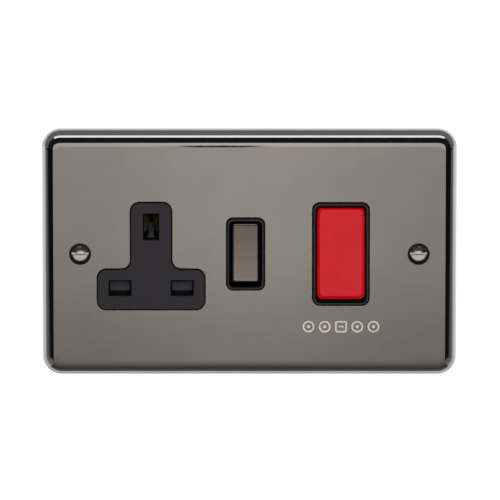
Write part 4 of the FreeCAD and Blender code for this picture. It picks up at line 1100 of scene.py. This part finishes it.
@dataclass(frozen=True)
class RearScrew:
    """One kind of slotted cheese-head screw on the back.

    Attributes:
        node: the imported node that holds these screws.
        tip: the level on Y of the thread's end.
        seat: the level on Y under the head.
        height: the head's height.
        shank: the thread's radius.
        head: the head's radius.
        columns: how many stand side by side.
        pitch: their spacing across and up the back.
        x: the middle of the columns.
        slot: the slot's width and depth.
        thread: the thread's pitch.
        core: the thread's core as a share of its radius.
        edge: the reach of the broken edges.
    """

    node: str
    tip: float
    seat: float
    height: float
    shank: float
    head: float
    columns: int
    pitch: Point
    x: float
    slot: Point = (0.9, 1.0)
    thread: float = 0.7
    core: float = 0.86
    edge: float = 0.05

    def threaded(self) -> list[Point]:
        """Draws the thread as rings, and its core.

        Returns:
            (radius, y) points from the tip to the head.
        """
        core = self.core * self.shank
        points: list[Point] = [(core * 0.8, self.tip)]
        count = max(2, int((self.seat - self.tip) / self.thread))
        step = (self.seat - self.tip) / count
        for index in range(count):
            points += [(radius, self.tip + step * (index + part)) for radius, part in (
                (core, 0.1), (self.shank, 0.45), (self.shank, 0.6), (core, 0.95))]
        return points

    def dress(self, pattern: ScrewPattern) -> None:
        """Builds one screw, repeats it and puts the set in place.

        Args:
            pattern: the tree that repeats it.
        """
        top = self.seat + self.height
        profile = self.threaded() + [
            (self.head - 0.1, self.seat), (self.head, self.seat + 0.1), (self.head, top - 0.35),
            (self.head - 0.12, top - 0.12), (self.head - 0.35, top)]
        skin = Skin()
        skin.spindle([skin.ring(circle(0.0, 0.0, radius, SCREW_STEPS), level) for radius, level in profile],
                     self.tip, top)
        width, depth = self.slot
        blank = slotted(skin.finish(f"{self.node}_blank"), width, top - depth, top + depth, self.head)
        pattern.set_out(f"{self.node}_set", blank, self.edge, ZINC_STEEL, self.node, self.columns, 2, self.pitch,
                        self.x, math.pi)


# Each finish, the reach of the broken edges in millimetres and the nodes that get them
SKINS = (
    (DARK_FACE, 0.25, "front_moulding"), (HOUSING, 0.2, "rear_housing"), (RED, 0.2, "cooker_switch_rocker"),
    (BLACK, 0.12, "socket_switch_rocker"), (GREY_SHUTTER, 0.1, "shutter"),
    (NYLON, 0.1, "line_plunger neutral_plunger socket_plunger"),
    (STRIP_BRASS, 0.08, "line_moving_contact neutral_moving_contact socket_moving_contact line_supply_contact "
                        "neutral_supply_contact line_load_contact neutral_load_contact line_jaw neutral_jaw "
                        "line_link earth_strap earth_jaw"),
    (BLOCK_BRASS, 0.16, "line_supply_terminal neutral_supply_terminal line_load_terminal neutral_load_terminal "
                        "upper_earth_terminal lower_earth_terminal"),
)


@dataclass
class Mechanism:
    """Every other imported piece, with its edges broken and the finish that SKINS gives it."""

    socket_face: float = 6.6
    # The border and the sloping walls of the socket face get painted shade
    border: float = 0.36
    border_inset: float = 0.16
    front_depth: float = -3.0
    edge_turn: float = -0.93
    rocker_rest: Matrix = field(default_factory=lambda: pivoted(*RED_PIVOT))
    # Faces of the red rocker turned further than rocker_turn from its front get painted light
    rocker_turn: float = 0.96
    border_foot: Point = (-7.2, -6.4)
    foot_growth: Point = (1.031, 1.033)
    shutter_step: float = -12.88
    step_drop: float = 0.97
    # The sunk parts of the shutter that get painted shade
    recess_top: float = -13.6
    recess_depths: Point = (-2.5, -2.1)
    lip_wall: float = 0.42
    lip_heights: Point = (6.7, 13.1)

    def dress(self) -> None:
        """Builds and places the skin of each node."""
        # Each change reshapes a node and paints part of it: shade on the socket face's edges and the shutter's sunk
        # parts, light on the red rocker's sloping sides.
        changes = {"front_moulding": (self.bordered, SOCKET_EDGE_SHADE, self.takes_edge_shade),
                   "cooker_switch_rocker": (self.filled_out, RED_EDGE_LIGHT, self.off_face),
                   "shutter": (self.lowered_step, SHUTTER_RECESS_SHADE, self.in_recess)}
        for finish, width, nodes in SKINS:
            for node in nodes.split():
                piece = copied(node)
                if node in changes:
                    changes[node][0](piece)
                place_on(softened(piece, width), finish, node)
                if node in changes:
                    repainted(piece, *changes[node][1:])
        self.earth_lips()

    def filled_out(self, piece: Piece) -> None:
        """Widens the foot of the sloping border of the red rocker, and lengthens its low end.

        Args:
            piece: the rocker at rest.
        """
        piece.data.transform(self.rocker_rest.inverted())
        for vert in piece.data.vertices:
            if self.border_foot[0] * MM < vert.co.y < self.border_foot[1] * MM:
                vert.co.x *= self.foot_growth[0]
                vert.co.z *= self.foot_growth[1] if vert.co.z < 0.0 else 1.0
        piece.data.transform(self.rocker_rest)

    def off_face(self, face: bpy.types.MeshPolygon) -> bool:
        """Whether a face of the red rocker turns away from its front, and so takes painted light."""
        return face.normal.dot(self.rocker_rest.to_3x3() @ Vector((0.0, -1.0, 0.0))) < self.rocker_turn

    def bordered(self, piece: Piece) -> None:
        """Draws a narrow border round the flat socket face, as its own faces, which carry painted shade.

        Args:
            piece: the moulding.
        """
        with edited(piece.data) as work:
            flats = [face for face in work.faces if face.normal.y < -FLAT
                     and abs(face.calc_center_median().y + self.socket_face * MM) < HAIR * MM]
            bmesh.ops.inset_region(work, faces=flats, thickness=self.border * MM, use_even_offset=True,
                                   use_boundary=True)

    def takes_edge_shade(self, face: bpy.types.MeshPolygon) -> bool:
        """Whether a face of the moulding gets painted shade: off its flats or in the border."""
        return face.center.y < self.front_depth * MM and (
            face.normal.y > self.edge_turn or self.on_border(face.center))

    def on_border(self, place: Vector) -> bool:
        """Tells the border along the outline of the flat socket face from the rest.

        Args:
            place: a place on the moulding, in metres.

        Returns:
            Whether it is in the border.
        """
        if abs(place.y + self.socket_face * MM) > HAIR * MM:
            return False
        points = [Vector((x, z, 0.0)) * MM for x, z in rounded(socket_outline(-self.border_inset))]
        spot = Vector((place.x, place.z, 0.0))
        for start, end in zip(points, points[1:] + points[:1]):
            foot, part = intersect_point_line(spot, start, end)
            if -0.1 < part < 1.1 and (foot - spot).length < 0.75 * self.border * MM:
                return True
        return False

    def lowered_step(self, piece: Piece) -> None:
        """Draws the step above the sunk parts of the shutter down a little.

        Args:
            piece: the shutter.
        """
        for vert in piece.data.vertices:
            if abs(vert.co.z - self.shutter_step * MM) < HAIR * MM:
                vert.co.z -= self.step_drop * MM

    def in_recess(self, face: bpy.types.MeshPolygon) -> bool:
        """Whether a face is on the sunk parts of the shutter, which take painted shade."""
        place = face.center / MM
        return place.z < self.recess_top and self.recess_depths[0] < place.y < self.recess_depths[1]

    def earth_lips(self) -> None:
        """Adds the curved lips of the earth leaves, seen through the upper aperture."""
        outer = [(2.35, 2.1), (1.9, 2.9), (1.4, 3.9), (0.9, 4.9), (0.5, 5.9), (0.3, 7.0), (0.4, 8.5), (0.8, 10.0)]
        skin = Skin()
        for side in (-1, 1):
            sheet = [(side * x, y) for x, y in outer]
            sheet += [(side * (x + self.lip_wall), y + 0.12) for x, y in reversed(outer)]
            ends = [[skin.mesh.verts.new(((SOCKET_X + x) * MM, y * MM, level * MM)) for x, y in sheet]
                    for level in self.lip_heights]
            skin.tube(ends)
            for end in ends:
                for index in range(len(outer) - 1):
                    skin.mesh.faces.new((end[index], end[index + 1], end[-2 - index], end[-1 - index]))
        place_on(softened(skin.finish("earth_jaw_lips"), 0.0, 50.0), DULL_BRASS)


# Studio


@dataclass
class Studio:
    """Pale floor, white surroundings, softly lit cards, lamps and the camera."""

    distance: float = 3.0
    elevation: float = 11.0
    view_width: float = 0.17806
    sensor: float = 36.0
    clip: Point = (0.05, 60.0)
    aim: Corner = (0.00023, -0.0062, 0.00149)
    floor_level: float = -0.30
    floor_reach: float = 8.0
    floor_glow: float = 0.70
    backdrop: float = 1.15
    cool: Colour = (1.0, 1.085, 1.17)
    sky_lean: float = -0.8
    sky_edge: Point = (0.0, 0.16)
    side_edge: Point = (-0.55, -0.25)
    side_levels: Point = (0.02, 0.28)
    card_reach: float = 0.30
    card_place: float = -0.7
    card_top: float = 0.09
    swell_reach: Point = (0.0, 0.085)

    def camera(self) -> None:
        """Adds the long-lens camera at the photograph's angle."""
        data = bpy.data.cameras.new("Camera")
        data.sensor_width = self.sensor
        data.lens = self.sensor * self.distance / self.view_width
        data.clip_start, data.clip_end = self.clip
        camera = linked("Camera", data)
        tilt = math.radians(self.elevation)
        camera.location = Vector(self.aim) + Vector((0.0, -math.cos(tilt), math.sin(tilt))) * self.distance
        camera.rotation_euler = (math.pi / 2 - tilt, 0.0, 0.0)
        bpy.context.scene.camera = camera

    def lamp(self, name: str, place: Corner, size: Point, power: float, mirrored: bool = True) -> bpy.types.Object:
        """Adds a soft rectangular lamp that faces the middle of the unit.

        Args:
            name: the lamp's name.
            place: where it hangs.
            size: its width and height in metres.
            power: its power in watts.
            mirrored: whether polished metal shows it.

        Returns:
            The lamp.
        """
        data = bpy.data.lights.new(name, "AREA")
        data.shape = "RECTANGLE"
        data.size, data.size_y = size
        data.energy = power
        lamp = linked(name, data)
        lamp.location = place
        lamp.rotation_euler = (-Vector(place)).to_track_quat("-Z", "Y").to_euler()
        lamp.visible_glossy = mirrored
        return lamp

    def screw_lamp(self) -> None:
        """Adds a low lamp that lights the heads of the fixing screws alone."""
        heads = bpy.data.collections.new("Fixing screw heads")
        heads.objects.link(bpy.data.objects["fixing_screw_pair"])
        lamp = self.lamp("Screw lamp", (0.0, -0.11, -0.15), (0.5, 0.24), 0.16)
        lamp.visible_camera = False
        lamp.light_linking.receiver_collection = heads

    @staticmethod
    def plane(name: str, low: Corner, high: Corner, material: bpy.types.Material) -> Piece:
        """Adds a level or upright rectangle of the stage.

        Args:
            name: its name.
            low: its near or lower left corner, in metres.
            high: its far or upper right corner.
            material: its material.

        Returns:
            The new object.
        """
        (left, near, bottom), (right, far, top) = low, high
        data = bpy.data.meshes.new(name)
        data.from_pydata([(left, near, bottom), (right, near, bottom), (right, far, top), (left, far, top)], [],
                         [(0, 1, 2, 3)])
        data.materials.append(material)
        plane = linked(name, data)
        return plane

    def surroundings(self) -> None:
        """White for the camera; for light and polish, white behind the unit and dim in front."""
        world = bpy.data.worlds.new("Studio")
        bpy.context.scene.world = world
        world.use_nodes = True
        wiring = Wiring(world.node_tree)
        place = wiring.place("Generated")
        upward = wiring.maths("MAXIMUM", place.outputs["Z"], 0.0)
        lean = wiring.maths("MULTIPLY_ADD", upward, self.sky_lean, place.outputs["Y"])
        level = wiring.node("Mix", {"Factor": wiring.step(lean, self.sky_edge, (0.0, 1.0)),
                                    "A": wiring.step(place.outputs["Y"], self.side_edge, self.side_levels),
                                    "B": self.backdrop})
        path = wiring.node("LightPath")
        seen = wiring.node("Mix", {"Factor": path.outputs["Is Camera Ray"], "A": level, "B": 1.0})
        tone = wiring.node("Mix", {"Factor": path.outputs["Is Glossy Ray"], "A": WHITE, "B": (*self.cool, 1.0)},
                           data_type="RGBA")
        wiring.fill(world.node_tree.nodes["Background"], {"Strength": seen, "Color": tone.outputs["Result"]})

    def floor(self) -> None:
        """Adds the pale floor, which stays white for the camera and keeps a soft shadow."""
        material, wiring = painted("Pale floor")
        path = wiring.node("LightPath")
        glow = wiring.node("Emission", {"Strength": wiring.maths(
            "MULTIPLY", path.outputs["Is Camera Ray"], self.floor_glow)})
        matt = wiring.node("BsdfDiffuse", {"Color": (0.86, 0.86, 0.86, 1.0)})
        lit = wiring.node("AddShader", {0: matt, 1: glow})
        shade = wiring.node("Emission", {"Color": (*self.cool, 1.0), "Strength": wiring.stops(
            wiring.place("Object").outputs["Y"], [
                (-1.2, 0.01), (-0.86, 0.02), (-0.6, 0.20), (-0.25, 0.28), (-0.10, 0.38), (0.02, 1.0),
                (0.4, 1.2), (1.0, 1.5)])})
        shown = wiring.node("MixShader", {0: path.outputs["Is Glossy Ray"], 1: lit, 2: shade})
        under = wiring.node("NewGeometry").outputs["Backfacing"]
        wiring.surface(wiring.node("MixShader", {0: under, 1: shown, 2: wiring.node("BsdfTransparent")}))
        reach, level = self.floor_reach, self.floor_level
        self.plane("floor", (-reach, -reach, level), (reach, reach, level), material)

    def glowing(self, name: str, low: Corner, high: Corner, levels: list[Point], axis: str = "Z",
                swell: Point = (1.0, 1.0)) -> None:
        """Adds a softly lit card that polished metal shows and the camera doesn't.

        Args:
            name: the card's name.
            low: its near or lower left corner, in metres.
            high: its far or upper right corner.
            levels: (place, strength) stops along its axis.
            axis: the axis that the stops are measured along.
            swell: the factors of the strength at the middle of the card and to its sides.
        """
        material, wiring = painted(name)
        place = wiring.place("Object")
        side = wiring.step(wiring.maths("ABSOLUTE", place.outputs["X"]), self.swell_reach, swell)
        strength = wiring.maths("MULTIPLY", wiring.stops(place.outputs[axis], levels), side)
        wiring.surface(wiring.node("Emission", {"Strength": strength}))
        card = self.plane(name, low, high, material)
        card.visible_camera = False
        card.visible_shadow = False

    def cards(self) -> None:
        """Adds the card in front of the unit, the dark gap in it and the mat on the floor."""
        reach, place, level, top = self.card_reach, self.card_place, self.floor_level, self.card_top
        self.glowing("front_card", (-reach, place, level), (reach, place, top), [
            (level, 0.27), (-0.255, 0.32), (-0.19, 0.39), (-0.161, 0.50), (-0.1426, 0.585), (-0.128, 0.617),
            (-0.114, 0.639), (-0.103, 0.63), (-0.086, 0.68), (-0.05, 0.95), (top, 1.0)], swell=(1.16, 0.93))
        self.glowing("card_gap", (-0.0295, place + 0.01, -0.078), (0.0040, place + 0.01, -0.036),
                     [(-0.078, 0.0), (-0.036, 0.0)])
        self.glowing("front_mat", (-reach, place, level + 0.0005), (reach, 0.40, level + 0.0005), [
            (-0.7, 0.29), (-0.55, 0.24), (-0.42, 0.21), (-0.31, 0.165), (-0.22, 0.115), (-0.14, 0.105),
            (-0.08, 0.125), (-0.02, 0.20), (0.03, 0.75), (0.07, 1.5), (0.14, 0.8), (0.40, 0.62)], axis="Y")

    def build(self) -> None:
        """Builds the whole studio."""
        self.surroundings()
        self.floor()
        self.cards()
        self.lamp("Key", (0.0, -0.62, 1.08), (1.6, 0.40), 4.2)
        self.lamp("Fill", (0.25, -2.2, 1.1), (1.5, 1.5), 38.0, mirrored=False)
        self.screw_lamp()
        self.camera()
        bpy.context.scene.view_settings.view_transform = "Standard"


def main() -> None:
    """Builds the unit from front to back, then the studio."""
    logging.basicConfig(level=logging.INFO, format="%(name)s: %(message)s")
    pattern = ScrewPattern()
    FrontPlate().dress()
    FixingScrews().dress(pattern)
    SocketCap().dress()
    Mechanism().dress()
    Springs().dress()
    for screw in (RearScrew("terminal_screws", 13.05, 15.3, 3.0, 1.95, 2.9, 2, (14.0, 45.0), 32.6),
                  RearScrew("earth_screws", 12.65, 15.3, 3.0, 1.7, 2.5, 1, (0.0, 45.0), 13.0),
                  RearScrew("assembly_screws", -2.1, 4.15, 1.9, 1.5, 2.8, 2, (99.0, 51.0), 0.0)):
        screw.dress(pattern)
    Studio().build()


if __name__ == "__main__":
    main()
